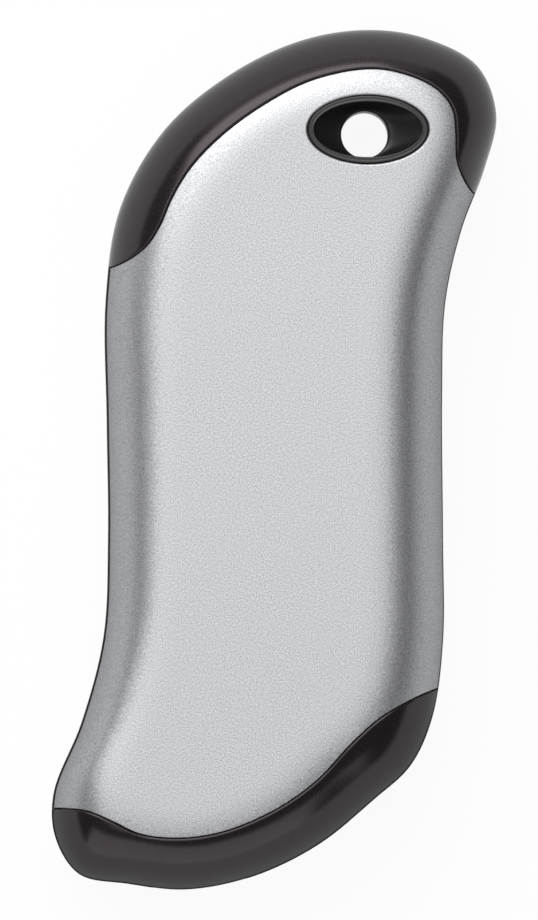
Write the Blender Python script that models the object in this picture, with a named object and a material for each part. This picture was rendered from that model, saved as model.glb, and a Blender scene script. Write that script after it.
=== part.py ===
"""A rechargeable hand warmer that lies on its back.

+X is the right of the front face, +Y runs to the lanyard end and +Z comes out of the
front face. The rear face lies on z = 0, and the origin is at the centre of the outline.
Lengths are in metres.
"""
import math

import bmesh
import bpy
from mathutils import Matrix, Vector

# The two cells and the walls round them give the casing its width and its thickness.
CELL_RADIUS = 0.0092
CELL_LENGTH = 0.065
CELL_SPACING = 0.0004
FIT_GAP = 0.0003
PAD_THICKNESS = 0.0025
HEATER_THICKNESS = 0.00035
CRADLE_SIDE = 0.0012
CRADLE_END = 0.0012
CRADLE_CLEARANCE = 0.0018
CRADLE_CORNER = 0.0025
TAB_THICKNESS = 0.0002
FRAME_WALL = 0.0012
SHELL_WALL = 0.0008
SHELL_STEP = 0.00025
SEAM_GAP = 0.0003
TRIM_GAP = 0.0003
BAND_HALF = 0.0033

# The rooms beyond the cells give it its length.
LANYARD_ROOM = 0.0297
CHIP_STRIP = 0.0114
PORT_RECESS = 0.0019

waist_share = 0.753
waist_middle_share = 0.5035

# The eyelet: an oval flange, a funnel and a round bore that is set off its centre.
EYELET_LENGTH = 0.0178
EYELET_HEIGHT = 0.0101
EYELET_RIM = 0.0012
EYELET_BORE_RADIUS = 0.00335
EYELET_WALL = 0.0011
EYELET_FUNNEL_DEPTH = 0.004
EYELET_BORE_OFFSET = 0.0005
EYELET_DROP = 0.00012
eyelet_share = (0.712, 0.883)

# Charging socket, output socket and the board under them.
USB_WIDTH = 0.0131
USB_HEIGHT = 0.0057
USB_LENGTH = 0.014
USB_WALL = 0.0003
USB_TONGUE_THICKNESS = 0.0019
USB_TONGUE_RECESS = 0.0012
USB_BLOCK_LENGTH = 0.004
MICRO_WIDTH = 0.0075
MICRO_HEIGHT = 0.0026
MICRO_LENGTH = 0.0055
MICRO_RECESS = 0.0026
MICRO_TONGUE_THICKNESS = 0.0006
MICRO_BLOCK_LENGTH = 0.0014
PORT_SPACING = 0.0021
BOARD_THICKNESS = 0.0012
BOARD_EDGE_CLEARANCE = 0.0014
BOARD_END_CLEARANCE = 0.001
usb_x_share = 0.335

# Power button and indicator, each on the bumper at a place along the outline's knots.
BUTTON_LENGTH = 0.0095
BUTTON_HEIGHT = 0.0042
BUTTON_LIP = 0.001
BUTTON_LIP_THICKNESS = 0.0008
BUTTON_TRAVEL = 0.0005
LENS_LENGTH = 0.0064
LENS_HEIGHT = 0.0018
LENS_CORNER = 0.0006
LENS_LIP = 0.0007
LENS_LIP_THICKNESS = 0.0008
LENS_FOOT_HALF = 0.0026
SWITCH_WIDTH = 0.006
SWITCH_DEPTH = 0.0035
SWITCH_HEIGHT = 0.006
STEM_RADIUS = 0.0017
STEM_LENGTH = 0.0024
STEM_EXPOSED = 0.001
LED_WIDTH = 0.0011
LED_DEPTH = 0.001
LED_HEIGHT = 0.0012
LED_PITCH = 0.0015
LED_COUNT = 4
button_knot_share = 0.4224
lens_knot_share = 0.365

# Screws and the bosses that they pull together.
BOSS_RADIUS = 0.0025
BOSS_NECK_RADIUS = 0.0019
BOSS_END_CLEARANCE = 0.0012
SCREW_RADIUS = 0.001
SCREW_HEAD_RADIUS = 0.0018
SCREW_HEAD_HEIGHT = 0.0012
SCREW_REACH = 0.006
RIB_THICKNESS = 0.0012

# Heaters, leads and chips.
HEATER_MARGIN = 0.0008
HEATER_CORNER = 0.004
PAD_SHORTENING = 0.004
TAB_WIDTH = 0.006
TAB_TAIL_WIDTH = 0.0024
TAB_TAIL_DROP = 0.0012
LEAD_RADIUS = 0.00055
LEAD_PITCH = 0.0022
LEAD_LANDING = 0.002
THERMISTOR_RADIUS = 0.0011
THERMISTOR_LEAD_RADIUS = 0.0004
CHARGER_SIZE = (0.005, 0.004, 0.0014)
CONTROLLER_SIZE = (0.007, 0.005, 0.0014)
INDUCTOR_SIZE = (0.005, 0.005, 0.0035)
INDUCTOR_CORNER = 0.0011
CHIP_GAP = 0.0013
CAPACITOR_RADIUS = 0.002
CAPACITOR_HEIGHT = 0.0055
heater_width_share = 0.70
cradle_height_share = 0.6
charger_share = (0.134, 0.105)
controller_x_share = 0.313
left_boss_share = (0.187, 0.162)
right_boss_x_share = 0.586
upper_boss_x_shares = (0.425, 0.820)
rib_y_shares = (-0.32, 0, 0.32)

OVERRUN = 0.002
MOST_STEPS = 3
TURN_PER_STEP = 0.25
SKIN_BANDS = 5
CORE_BANDS = 3
ROUND_SIDES = 26
FLAT_ANGLE = 0.0004

# The outline and the edge of the flat faces, from the lanyard end clockwise, as shares
# of the body's width and length, with a knot of one facing the same knot of the other.
outline_shares = (
    (0.708, 0.999), (0.840, 0.990), (0.957, 0.955), (0.999, 0.899), (0.973, 0.837),
    (0.921, 0.765), (0.885, 0.681), (0.878, 0.574), (0.880, 0.406), (0.880, 0.290),
    (0.856, 0.201), (0.807, 0.145), (0.726, 0.106), (0.600, 0.053), (0.452, 0.016),
    (0.303, 0.001), (0.173, 0.008), (0.065, 0.019), (0.007, 0.060), (0.007, 0.112),
    (0.070, 0.195), (0.119, 0.294), (0.129, 0.406), (0.126, 0.545), (0.122, 0.685),
    (0.153, 0.792), (0.254, 0.884), (0.402, 0.948), (0.560, 0.987),
)
face_shares = (
    (0.712, 0.927), (0.793, 0.922), (0.847, 0.908), (0.870, 0.883), (0.854, 0.838),
    (0.807, 0.776), (0.766, 0.690), (0.751, 0.578), (0.746, 0.406), (0.733, 0.301),
    (0.690, 0.231), (0.645, 0.197), (0.596, 0.162), (0.515, 0.120), (0.416, 0.090),
    (0.303, 0.076), (0.211, 0.085), (0.137, 0.103), (0.117, 0.123), (0.128, 0.147),
    (0.187, 0.213), (0.234, 0.301), (0.249, 0.406), (0.252, 0.545), (0.256, 0.685),
    (0.290, 0.764), (0.375, 0.836), (0.474, 0.885), (0.600, 0.916),
)

# The line where metal meets bumper: over the top, down outside the body and back below.
trim_shares = (
    (0.020, 0.707), (0.128, 0.721), (0.173, 0.731), (0.216, 0.748), (0.245, 0.771),
    (0.270, 0.801), (0.312, 0.837), (0.380, 0.874), (0.474, 0.910), (0.587, 0.940),
    (0.721, 0.953), (0.811, 0.944), (0.872, 0.927), (0.903, 0.905), (0.910, 0.877),
    (0.912, 0.847), (0.930, 0.822), (0.951, 0.807), (1.009, 0.783), (0.964, 0.252),
    (0.874, 0.235), (0.811, 0.221), (0.739, 0.199), (0.676, 0.170), (0.596, 0.126),
    (0.501, 0.092), (0.384, 0.067), (0.285, 0.060), (0.200, 0.065), (0.137, 0.080),
    (0.079, 0.092), (0.007, 0.095), (-0.070, 0.094),
)

SHELL_STACK = SHELL_STEP + SHELL_WALL
RECESS = SHELL_STACK + FIT_GAP
WALL_STACK = RECESS + FRAME_WALL
HALF_WAIST = (CELL_SPACING / 2 + 2 * CELL_RADIUS + CRADLE_SIDE + CRADLE_CLEARANCE
              + WALL_STACK)
HALF_THICKNESS = (CELL_RADIUS + PAD_THICKNESS + HEATER_THICKNESS + 3 * FIT_GAP
                  + SHELL_WALL)
END_SLOT = TAB_THICKNESS + 2 * FIT_GAP
BOARD_ROOM = PORT_RECESS + USB_LENGTH + CHIP_STRIP + END_SLOT + CRADLE_END
BODY_WIDTH = 2 * HALF_WAIST / waist_share
BODY_LENGTH = LANYARD_ROOM + CELL_LENGTH + BOARD_ROOM
MID = HALF_THICKNESS

CELL_OFFSET = CELL_RADIUS + CELL_SPACING / 2
CRADLE_HALF_WIDTH = CELL_OFFSET + CELL_RADIUS + CRADLE_SIDE
CRADLE_HALF_LENGTH = CELL_LENGTH / 2 + END_SLOT + CRADLE_END
CRADLE_HALF_HEIGHT = cradle_height_share * CELL_RADIUS
CELL_Y = (BOARD_ROOM - LANYARD_ROOM) / 2
DECK_TOP = HALF_THICKNESS - SHELL_WALL - FIT_GAP
BOARD_TOP = -USB_HEIGHT / 2 - FIT_GAP
BOARD_BOTTOM = BOARD_TOP - BOARD_THICKNESS
BOARD_EDGE_Y = CELL_Y - CRADLE_HALF_LENGTH - BOARD_END_CLEARANCE
SEAT = BOARD_TOP + FIT_GAP

# Colour, roughness and metallic value of each material.
MATERIALS = {
    "anodised_aluminium": ((0.58, 0.585, 0.60, 1), 0.38, 0.85),
    "black_gloss_plastic": ((0.022, 0.019, 0.020, 1), 0.22, 0),
    "black_rubbery_plastic": ((0.018, 0.016, 0.017, 1), 0.45, 0),
    "clear_polycarbonate": ((0.55, 0.58, 0.60, 1), 0.15, 0),
    "heater_film": ((0.42, 0.17, 0.035, 1), 0.4, 0),
    "foam": ((0.06, 0.06, 0.065, 1), 0.95, 0),
    "cell_wrap": ((0.04, 0.16, 0.32, 1), 0.4, 0),
    "nickel": ((0.55, 0.53, 0.48, 1), 0.3, 1),
    "white_plastic": ((0.75, 0.75, 0.72, 1), 0.5, 0),
    "board_green": ((0.012, 0.12, 0.045, 1), 0.4, 0),
    "chip_black": ((0.015, 0.015, 0.016, 1), 0.5, 0),
    "ferrite": ((0.05, 0.05, 0.052, 1), 0.7, 0),
    "red_insulation": ((0.5, 0.02, 0.015, 1), 0.45, 0),
    "black_insulation": ((0.02, 0.02, 0.02, 1), 0.5, 0),
    "white_insulation": ((0.7, 0.7, 0.68, 1), 0.45, 0),
    "zinc_steel": ((0.5, 0.5, 0.5, 1), 0.3, 1),
}


def material(name):
    """The Principled material of this name, made the first time it is asked for."""
    if name in bpy.data.materials:
        return bpy.data.materials[name]
    colour, roughness, metallic = MATERIALS[name]
    made = bpy.data.materials.new(name)
    made.use_nodes = True
    shader = made.node_tree.nodes["Principled BSDF"]
    shader.inputs["Base Color"].default_value = colour
    shader.inputs["Roughness"].default_value = roughness
    shader.inputs["Metallic"].default_value = metallic
    return made


def spline_point(near, along):
    """A point between the middle two of four knots, on a centripetal spline."""
    times = [0]
    for first, second in zip(near, near[1:]):
        times.append(times[-1] + math.sqrt((second - first).length))
    time = times[1] + along * (times[2] - times[1])

    def mix(first, second, start, end):
        return first.lerp(second, (time - start) / (end - start))

    ones = [mix(near[i], near[i + 1], times[i], times[i + 1]) for i in range(3)]
    twos = [mix(ones[i], ones[i + 1], times[i], times[i + 2]) for i in range(2)]
    return mix(twos[0], twos[1], times[1], times[2])


def nearby(knots, index):
    """The knots round one span of a closed ring."""
    return [knots[(index + shift) % len(knots)] for shift in (-1, 0, 1, 2)]


def knot_places(shares):
    """Knots that are shares of the body's width and length."""
    return [Vector((x * BODY_WIDTH, y * BODY_LENGTH)) for x, y in shares]


def span_steps(knots):
    """The steps that each span between two knots takes, more where the ring turns."""
    steps = []
    for index in range(len(knots)):
        first, second, third, fourth = nearby(knots, index)
        turn = (second - first).angle(third - second) + (third - second).angle(fourth - third)
        steps.append(1 + min(MOST_STEPS - 1, int(turn / TURN_PER_STEP)))
    return steps


def spline(shares, steps):
    """A closed smooth ring through knots, with a number of steps for each span."""
    knots = knot_places(shares)
    ring = []
    for index, count in enumerate(steps):
        near = nearby(knots, index)
        ring += [spline_point(near, step / count) for step in range(count)]
    return ring


def middle(ring):
    """The centre of a ring's bounding box."""
    xs = [point.x for point in ring]
    ys = [point.y for point in ring]
    return Vector(((min(xs) + max(xs)) / 2, (min(ys) + max(ys)) / 2))


def inward(ring):
    """For each point of a clockwise ring, the unit vector that points into the ring."""
    normals = []
    for index in range(len(ring)):
        ahead = ring[(index + 1) % len(ring)] - ring[index - 1]
        normals.append(Vector((ahead.y, -ahead.x)).normalized())
    return normals


def offset(ring, inset):
    """The ring moved in by an inset, or out by a negative one."""
    return [point + inset * normal for point, normal in zip(ring, inward(ring))]


STEPS = span_steps(knot_places(outline_shares))
CENTRE = middle(spline(outline_shares, STEPS))
OUTLINE = [point - CENTRE for point in spline(outline_shares, STEPS)]
FACE = [point - CENTRE for point in spline(face_shares, STEPS)]
TRIM = [point - CENTRE for point in spline(trim_shares, span_steps(knot_places(trim_shares)))]


def body_place(share):
    """The place of a share of the body's width and length."""
    return Vector((share[0] * BODY_WIDTH, share[1] * BODY_LENGTH)) - CENTRE


CELL_X = body_place((waist_middle_share, 0)).x


def is_flat(face):
    """Whether the corners of a face share its plane."""
    foot = face.calc_center_median()
    size = math.sqrt(face.calc_area())
    return all(abs((vert.co - foot).dot(face.normal)) < FLAT_ANGLE * size
               for vert in face.verts)


def new_object(name, verts, faces, look):
    """A mesh object whose faces all point out, with its warped faces split."""
    mesh = bpy.data.meshes.new(name)
    mesh.from_pydata([tuple(vert) for vert in verts], [], faces)
    shape = bmesh.new()
    shape.from_mesh(mesh)
    shape.normal_update()
    warped = [face for face in shape.faces if not is_flat(face)]
    bmesh.ops.triangulate(shape, faces=warped)
    bmesh.ops.recalc_face_normals(shape, faces=shape.faces)
    shape.to_mesh(mesh)
    shape.free()
    made = bpy.data.objects.new(name, mesh)
    bpy.context.scene.collection.objects.link(made)
    if look:
        mesh.materials.append(material(look))
    return made


def loft(name, rings, look=None, closed=False):
    """A solid through rings of equally many points, capped unless its path is closed."""
    size = len(rings[0])
    verts = [point for ring in rings for point in ring]
    faces = []
    pairs = len(rings) if closed else len(rings) - 1
    for level in range(pairs):
        here = level * size
        there = (level + 1) % len(rings) * size
        for index in range(size):
            after = (index + 1) % size
            faces.append((here + index, here + after, there + after, there + index))
    if not closed:
        faces.append(tuple(range(size)))
        faces.append(tuple(range(len(verts) - size, len(verts))))
    return new_object(name, verts, faces, look)


def level_ring(ring, z):
    """An XY ring at a height."""
    return [Vector((point.x, point.y, z)) for point in ring]


def skin_rings(inset, side, start, fine=True):
    """Rings of the body's skin, from a height above the mid-plane up to the flat face.

    Each runs an ellipse's quadrant from the outline, moved in by an inset, to the face.
    """
    bands = SKIN_BANDS if fine else CORE_BANDS
    outline = offset(OUTLINE, inset)
    height = HALF_THICKNESS + SHELL_STEP - inset
    first = math.asin(start / height)
    rings = []
    for band in range(bands + 1):
        angle = first + (math.pi / 2 - first) * band / bands
        across = 1 - math.cos(angle)
        ring = [rim.lerp(end, across) for rim, end in zip(outline, FACE)]
        rings.append(level_ring(ring, MID + side * height * math.sin(angle)))
    return rings


def deep_skin(name, inset, side, fine=True):
    """One half of the body for cutting, run on past the mid-plane."""
    rings = skin_rings(inset, side, 0, fine)
    below = level_ring(rings[0], MID - side * OVERRUN)
    return loft(name, [below] + rings)


def whole_skin(name, inset):
    """Both halves of the body as one solid."""
    return loft(name, skin_rings(inset, -1, 0)[:0:-1] + skin_rings(inset, 1, 0))


def flat_frame(z=0):
    """Axes for an outline drawn in XY at the mid-plane, or at a height above it."""
    return Matrix.Translation((0, 0, MID + z))


def axes_frame(origin, across, up, out):
    """Axes from an origin and three unit vectors."""
    rows = Matrix((across, up, out)).transposed().to_4x4()
    return Matrix.Translation(origin) @ rows


def prism(name, outline, low, high, frame, look=None):
    """An outline run from one height of its frame to another."""
    rings = [[frame @ Vector((x, y, level)) for x, y in outline] for level in (low, high)]
    return loft(name, rings, look)


def turned(name, profile, frame, look=None, sides=ROUND_SIDES):
    """A solid of round rings, from (radius, height) pairs along the frame's axis."""
    rings = []
    for radius, height in profile:
        ring = [(x, y, height) for x, y in oval(radius, radius, sides)]
        rings.append([frame @ Vector(point) for point in ring])
    return loft(name, rings, look)


def oval(half_width, half_height, sides=ROUND_SIDES, shift=(0, 0)):
    """An ellipse outline."""
    turns = [2 * math.pi * index / sides for index in range(sides)]
    return [(shift[0] + half_width * math.cos(turn), shift[1] + half_height * math.sin(turn))
            for turn in turns]


def box_outline(width, height, shift=(0, 0)):
    """A rectangle outline."""
    corners = ((1, 1), (-1, 1), (-1, -1), (1, -1))
    return [(shift[0] + x * width / 2, shift[1] + y * height / 2) for x, y in corners]


def rounded_outline(width, height, radius, segments=3):
    """A rectangle outline with round corners."""
    points = []
    for quarter, (x, y) in enumerate(((1, 1), (-1, 1), (-1, -1), (1, -1))):
        corner_x = x * (width / 2 - radius)
        corner_y = y * (height / 2 - radius)
        for step in range(segments + 1):
            turn = math.pi / 2 * (quarter + step / segments)
            points.append((corner_x + radius * math.cos(turn),
                           corner_y + radius * math.sin(turn)))
    return points


def obround(width, height, grow=0, segments=10):
    """A rectangle outline with half-round ends, grown all round."""
    radius = height / 2 + grow
    points = []
    for hand in (1, -1):
        for step in range(segments + 1):
            turn = math.pi * (step / segments - 1 / 2)
            points.append((hand * ((width - height) / 2 + radius * math.cos(turn)),
                           hand * radius * math.sin(turn)))
    return points


def combine(target, tool, operation="DIFFERENCE"):
    """Cut, join or intersect a solid with another, which is used up."""
    step = target.modifiers.new("shape", "BOOLEAN")
    step.operation = operation
    step.solver = "EXACT"
    step.object = tool
    bpy.context.view_layer.update()
    graph = bpy.context.evaluated_depsgraph_get()
    mesh = bpy.data.meshes.new_from_object(target.evaluated_get(graph))
    target.modifiers.clear()
    shape = bmesh.new()
    shape.from_mesh(mesh)
    bmesh.ops.dissolve_limit(shape, angle_limit=FLAT_ANGLE, verts=shape.verts,
                             edges=shape.edges)
    shape.to_mesh(mesh)
    shape.free()
    target.data = mesh
    bpy.data.objects.remove(tool)
    return target


def gather(solids):
    """Separate solids made into one tool."""
    shape = bmesh.new()
    for solid in solids:
        shape.from_mesh(solid.data)
        bpy.data.objects.remove(solid)
    mesh = bpy.data.meshes.new("tool")
    shape.to_mesh(mesh)
    shape.free()
    tool = bpy.data.objects.new("tool", mesh)
    bpy.context.scene.collection.objects.link(tool)
    return tool


def smooth(target, degrees=32):
    """Shade a solid smooth, apart from its sharp edges."""
    target.data.shade_smooth()
    target.data.set_sharp_from_angle(angle=math.radians(degrees))
    return target


def station_frame(knot_share):
    """Axes on the bumper: along the outline, up, and out of the body."""
    knots = [knot - CENTRE for knot in knot_places(outline_shares)]
    place = knot_share * len(knots)
    near = nearby(knots, int(place))
    along = place - int(place)
    nudge_share = 0.05
    here = spline_point(near, along)
    ahead = (spline_point(near, along + nudge_share) - here).normalized()
    out = Vector((-ahead.y, ahead.x))
    return axes_frame((here.x, here.y, MID), (-out.y, out.x, 0), (0, 0, 1),
                      (out.x, out.y, 0))


BUTTON_FRAME = station_frame(button_knot_share)
LENS_FRAME = station_frame(lens_knot_share)


def port_frame(x, y):
    """Axes of a socket: across, up, and out of the body's lower end."""
    return axes_frame((x, y, MID), (-1, 0, 0), (0, 0, 1), (0, -1, 0))


USB_X = body_place((usb_x_share, 0)).x
MICRO_X = USB_X - USB_WIDTH / 2 - PORT_SPACING - MICRO_WIDTH / 2
MICRO_Z = SEAT + MICRO_HEIGHT / 2
USB_FRAME = port_frame(USB_X, -BODY_LENGTH / 2 + PORT_RECESS)
MICRO_FRAME = port_frame(MICRO_X, -BODY_LENGTH / 2 + MICRO_RECESS)
SWITCH_FRONT = WALL_STACK + 2 * FIT_GAP + BUTTON_LIP_THICKNESS + STEM_EXPOSED


def boss_places():
    """The four screws' places, the two on the board first."""
    lower_y = CELL_Y - CRADLE_HALF_LENGTH - BOSS_END_CLEARANCE - BOSS_RADIUS
    upper_y = CELL_Y + CRADLE_HALF_LENGTH + BOSS_END_CLEARANCE + BOSS_RADIUS
    places = [body_place(left_boss_share)]
    places.append(Vector((body_place((right_boss_x_share, 0)).x, lower_y)))
    for share in upper_boss_x_shares:
        places.append(Vector((body_place((share, 0)).x, upper_y)))
    return places


BOSSES = boss_places()


def at_boss(place):
    """Axes at a screw, up from the mid-plane."""
    return Matrix.Translation((place.x, place.y, MID))


def boss_solids(side):
    """The posts that stand on one frame half's deck."""
    solids = []
    foot = DECK_TOP + OVERRUN
    for index, place in enumerate(BOSSES):
        on_board = index < 2 and side < 0
        profile = [(BOSS_RADIUS, foot)]
        if on_board:
            shoulder = -BOARD_BOTTOM + FIT_GAP
            profile += [(BOSS_RADIUS, shoulder), (BOSS_NECK_RADIUS, shoulder)]
            profile.append((BOSS_NECK_RADIUS, SEAM_GAP / 2))
        else:
            profile.append((BOSS_RADIUS, SEAM_GAP / 2))
        profile = [(radius, side * height) for radius, height in profile]
        solids.append(turned("boss", profile, at_boss(place), sides=16))
    return solids


def rib_solids(side):
    """The ribs on the side walls that hold the cradle across."""
    solids = []
    for share in rib_y_shares:
        for hand in (-1, 1):
            inner = CRADLE_HALF_WIDTH + FIT_GAP
            outer = HALF_WAIST
            centre = (CELL_X + hand * (inner + outer) / 2, CELL_Y + share * CELL_LENGTH)
            outline = box_outline(outer - inner, RIB_THICKNESS, centre)
            heights = sorted((side * SEAM_GAP / 2, side * DECK_TOP))
            solids.append(prism("rib", outline, *heights, flat_frame()))
    return solids


def screw_bores(side):
    """The holes for the screws, with the heads' seats on the rear half."""
    solids = []
    bore = SCREW_RADIUS + FIT_GAP
    for place in BOSSES:
        profile = [(bore, -OVERRUN * side), (bore, side * (SCREW_REACH + FIT_GAP))]
        if side < 0:
            seat = -DECK_TOP + SCREW_HEAD_HEIGHT + 2 * FIT_GAP
            head = SCREW_HEAD_RADIUS + FIT_GAP
            profile = [(bore, OVERRUN), (bore, seat), (head, seat)]
            profile.append((head, -DECK_TOP - OVERRUN))
        solids.append(turned("bore", profile, at_boss(place), sides=16))
    return solids


def stepped(name, outlines, heights, frame, look=None):
    """A solid of several outlines of equally many points, each at its height."""
    rings = []
    for outline, height in zip(outlines, heights):
        rings.append([frame @ Vector((x, y, height)) for x, y in outline])
    return loft(name, rings, look)


def socket_cuts():
    """The openings in the bumper for the button, the lens and the two sockets."""
    button = obround(BUTTON_LENGTH, BUTTON_HEIGHT, FIT_GAP)
    button_lip = obround(BUTTON_LENGTH, BUTTON_HEIGHT, BUTTON_LIP + FIT_GAP)
    lip_back = WALL_STACK + BUTTON_LIP_THICKNESS + BUTTON_TRAVEL + 2 * FIT_GAP
    heights = (OVERRUN, -WALL_STACK, -WALL_STACK, -lip_back - OVERRUN)
    cuts = [stepped("cut", (button, button, button_lip, button_lip), heights, BUTTON_FRAME)]
    lens = rounded_outline(LENS_LENGTH + 2 * FIT_GAP, LENS_HEIGHT + 2 * FIT_GAP,
                           LENS_CORNER + FIT_GAP)
    foot = rounded_outline(LENS_LENGTH + 2 * (LENS_LIP + FIT_GAP),
                           2 * (LENS_FOOT_HALF + FIT_GAP), LENS_CORNER + FIT_GAP)
    lip_back = WALL_STACK + LENS_LIP_THICKNESS + LED_DEPTH + 2 * FIT_GAP
    heights = (OVERRUN, -WALL_STACK, -WALL_STACK, -lip_back)
    cuts.append(stepped("cut", (lens, lens, foot, foot), heights, LENS_FRAME))
    outline = box_outline(USB_WIDTH + 2 * FIT_GAP, USB_HEIGHT + 2 * FIT_GAP)
    cuts.append(prism("cut", outline, -USB_LENGTH - FIT_GAP, PORT_RECESS + OVERRUN,
                      USB_FRAME))
    return cuts


def micro_cut():
    """The rear half's opening for the charging socket, which reaches the seam."""
    low = SEAT - FIT_GAP
    outline = box_outline(MICRO_WIDTH + 2 * FIT_GAP, -low, (0, low / 2))
    return prism("cut", outline, -MICRO_LENGTH - FIT_GAP, MICRO_RECESS + OVERRUN,
                 MICRO_FRAME)


def heater_outline(grow=0, shorten=0):
    """The heater film's outline, or the deck's window round it when grown."""
    width = heater_width_share * 4 * CELL_RADIUS + 2 * grow
    length = CELL_LENGTH - 2 * HEATER_MARGIN + 2 * grow - shorten
    outline = rounded_outline(width, length, HEATER_CORNER, 4)
    return [(CELL_X + x, CELL_Y + y + shorten / 2) for x, y in outline]


def eyelet_rings(side, grow, heights_and_turns):
    """Rings of the eyelet's funnel, from the oval rim at 0 to the bore at 1."""
    centre = body_place(eyelet_share)
    half_width = EYELET_LENGTH / 2 - EYELET_RIM
    half_height = EYELET_HEIGHT / 2 - EYELET_RIM
    rings = []
    for height, turn in heights_and_turns:
        wide = half_width + (EYELET_BORE_RADIUS - half_width) * turn + grow
        high = half_height + (EYELET_BORE_RADIUS - half_height) * turn + grow
        shift = (centre.x - EYELET_BORE_OFFSET * turn,
                 centre.y - (half_height - EYELET_BORE_RADIUS) * turn)
        ring = oval(wide, high, ROUND_SIDES, shift)
        rings.append([Vector((x, y, MID + side * height)) for x, y in ring])
    return rings


def deck_hole_outline(grow=0):
    """The oval in the deck that the eyelet's throat goes through."""
    centre = body_place(eyelet_share)
    bore_y = centre.y + EYELET_BORE_RADIUS + EYELET_RIM - EYELET_HEIGHT / 2
    throat = EYELET_BORE_RADIUS + EYELET_WALL
    half_width = (throat + EYELET_LENGTH / 2 - EYELET_RIM) / 2
    return oval(half_width + grow, throat + grow, ROUND_SIDES,
                (centre.x - EYELET_BORE_OFFSET / 2, bore_y))


def make_eyelet(name, side):
    """The flange, funnel and throat of one side, down to the mid-plane."""
    top = HALF_THICKNESS - EYELET_DROP
    under = DECK_TOP + FIT_GAP
    inner = []
    for step in range(SKIN_BANDS):
        turn = math.pi / 2 * step / (SKIN_BANDS - 1)
        inner.append((top - EYELET_FUNNEL_DEPTH * (1 - math.cos(turn)), math.sin(turn)))
    inner.append((SEAM_GAP / 2, 1))
    rings = eyelet_rings(side, 0, inner)
    throat_top = under - EYELET_FUNNEL_DEPTH
    rings += eyelet_rings(side, EYELET_WALL, ((SEAM_GAP / 2, 1), (throat_top, 1)))
    hole = deck_hole_outline()
    rings.append([Vector((x, y, MID + side * under)) for x, y in hole])
    rim = EYELET_RIM
    rings += eyelet_rings(side, rim, ((under, 0),))
    edge_share = 0.35
    rings += eyelet_rings(side, rim, ((top - edge_share * rim, 0),))
    rings += eyelet_rings(side, rim * (1 - edge_share), ((top, 0),))
    return smooth(loft(name, rings, "black_gloss_plastic", closed=True))


def make_shell(name, side):
    """The metal shell of one face, with the eyelet's hole."""
    start = BAND_HALF + FIT_GAP
    inner = skin_rings(SHELL_STACK, side, start)
    outer = skin_rings(SHELL_STEP, side, start)
    shell = loft(name, inner[::-1] + outer, "anodised_aluminium")
    heights = sorted((side * start / 2, side * (HALF_THICKNESS + OVERRUN)))
    trim = [tuple(point) for point in offset(TRIM, TRIM_GAP / 2)]
    combine(shell, prism("trim", trim, *heights, flat_frame()), "INTERSECT")
    hole = eyelet_rings(side, EYELET_RIM + FIT_GAP,
                        ((DECK_TOP, 0), (HALF_THICKNESS + OVERRUN, 0)))
    combine(shell, loft("hole", hole))
    return smooth(shell)


def make_frame(name, side):
    """One moulded half of the plastic body, with its bosses, ribs and openings."""
    frame = loft(name, skin_rings(0, side, SEAM_GAP / 2), "black_gloss_plastic")
    heights = sorted((side * BAND_HALF, side * (HALF_THICKNESS + OVERRUN)))
    trim = [tuple(point) for point in offset(TRIM, -TRIM_GAP / 2)]
    pocket = prism("pocket", trim, *heights, flat_frame())
    combine(pocket, deep_skin("recess", RECESS, side))
    combine(frame, pocket)
    core = deep_skin("core", WALL_STACK, side, False)
    combine(core, gather(boss_solids(side)))
    combine(core, gather(rib_solids(side)))
    combine(frame, core)
    heights = sorted((side * CELL_RADIUS, side * (DECK_TOP + OVERRUN)))
    cuts = screw_bores(side) + socket_cuts()
    cuts.append(prism("window", heater_outline(FIT_GAP), *heights, flat_frame()))
    cuts.append(prism("hole", deck_hole_outline(FIT_GAP), *heights, flat_frame()))
    if side < 0:
        cuts.append(micro_cut())
    combine(frame, gather(cuts))
    return smooth(frame)


def along_y(x, y, z=0):
    """Axes of a round piece that lies along Y, from the mid-plane's height."""
    return axes_frame((x, y, MID + z), (1, 0, 0), (0, 0, -1), (0, 1, 0))


def make_cell(name, hand):
    """A wrapped cylinder cell with its button terminal at the lanyard end."""
    nub_share = 0.35
    edge = TAB_THICKNESS * 2
    half = CELL_LENGTH / 2
    profile = [(CELL_RADIUS - edge, -half), (CELL_RADIUS, edge - half),
               (CELL_RADIUS, half - 3 * edge), (CELL_RADIUS - edge, half - 2 * edge),
               (nub_share * CELL_RADIUS, half - 2 * edge), (nub_share * CELL_RADIUS, half)]
    frame = along_y(CELL_X + hand * CELL_OFFSET, CELL_Y)
    return smooth(turned(name, profile, frame, "cell_wrap", 20))


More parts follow.
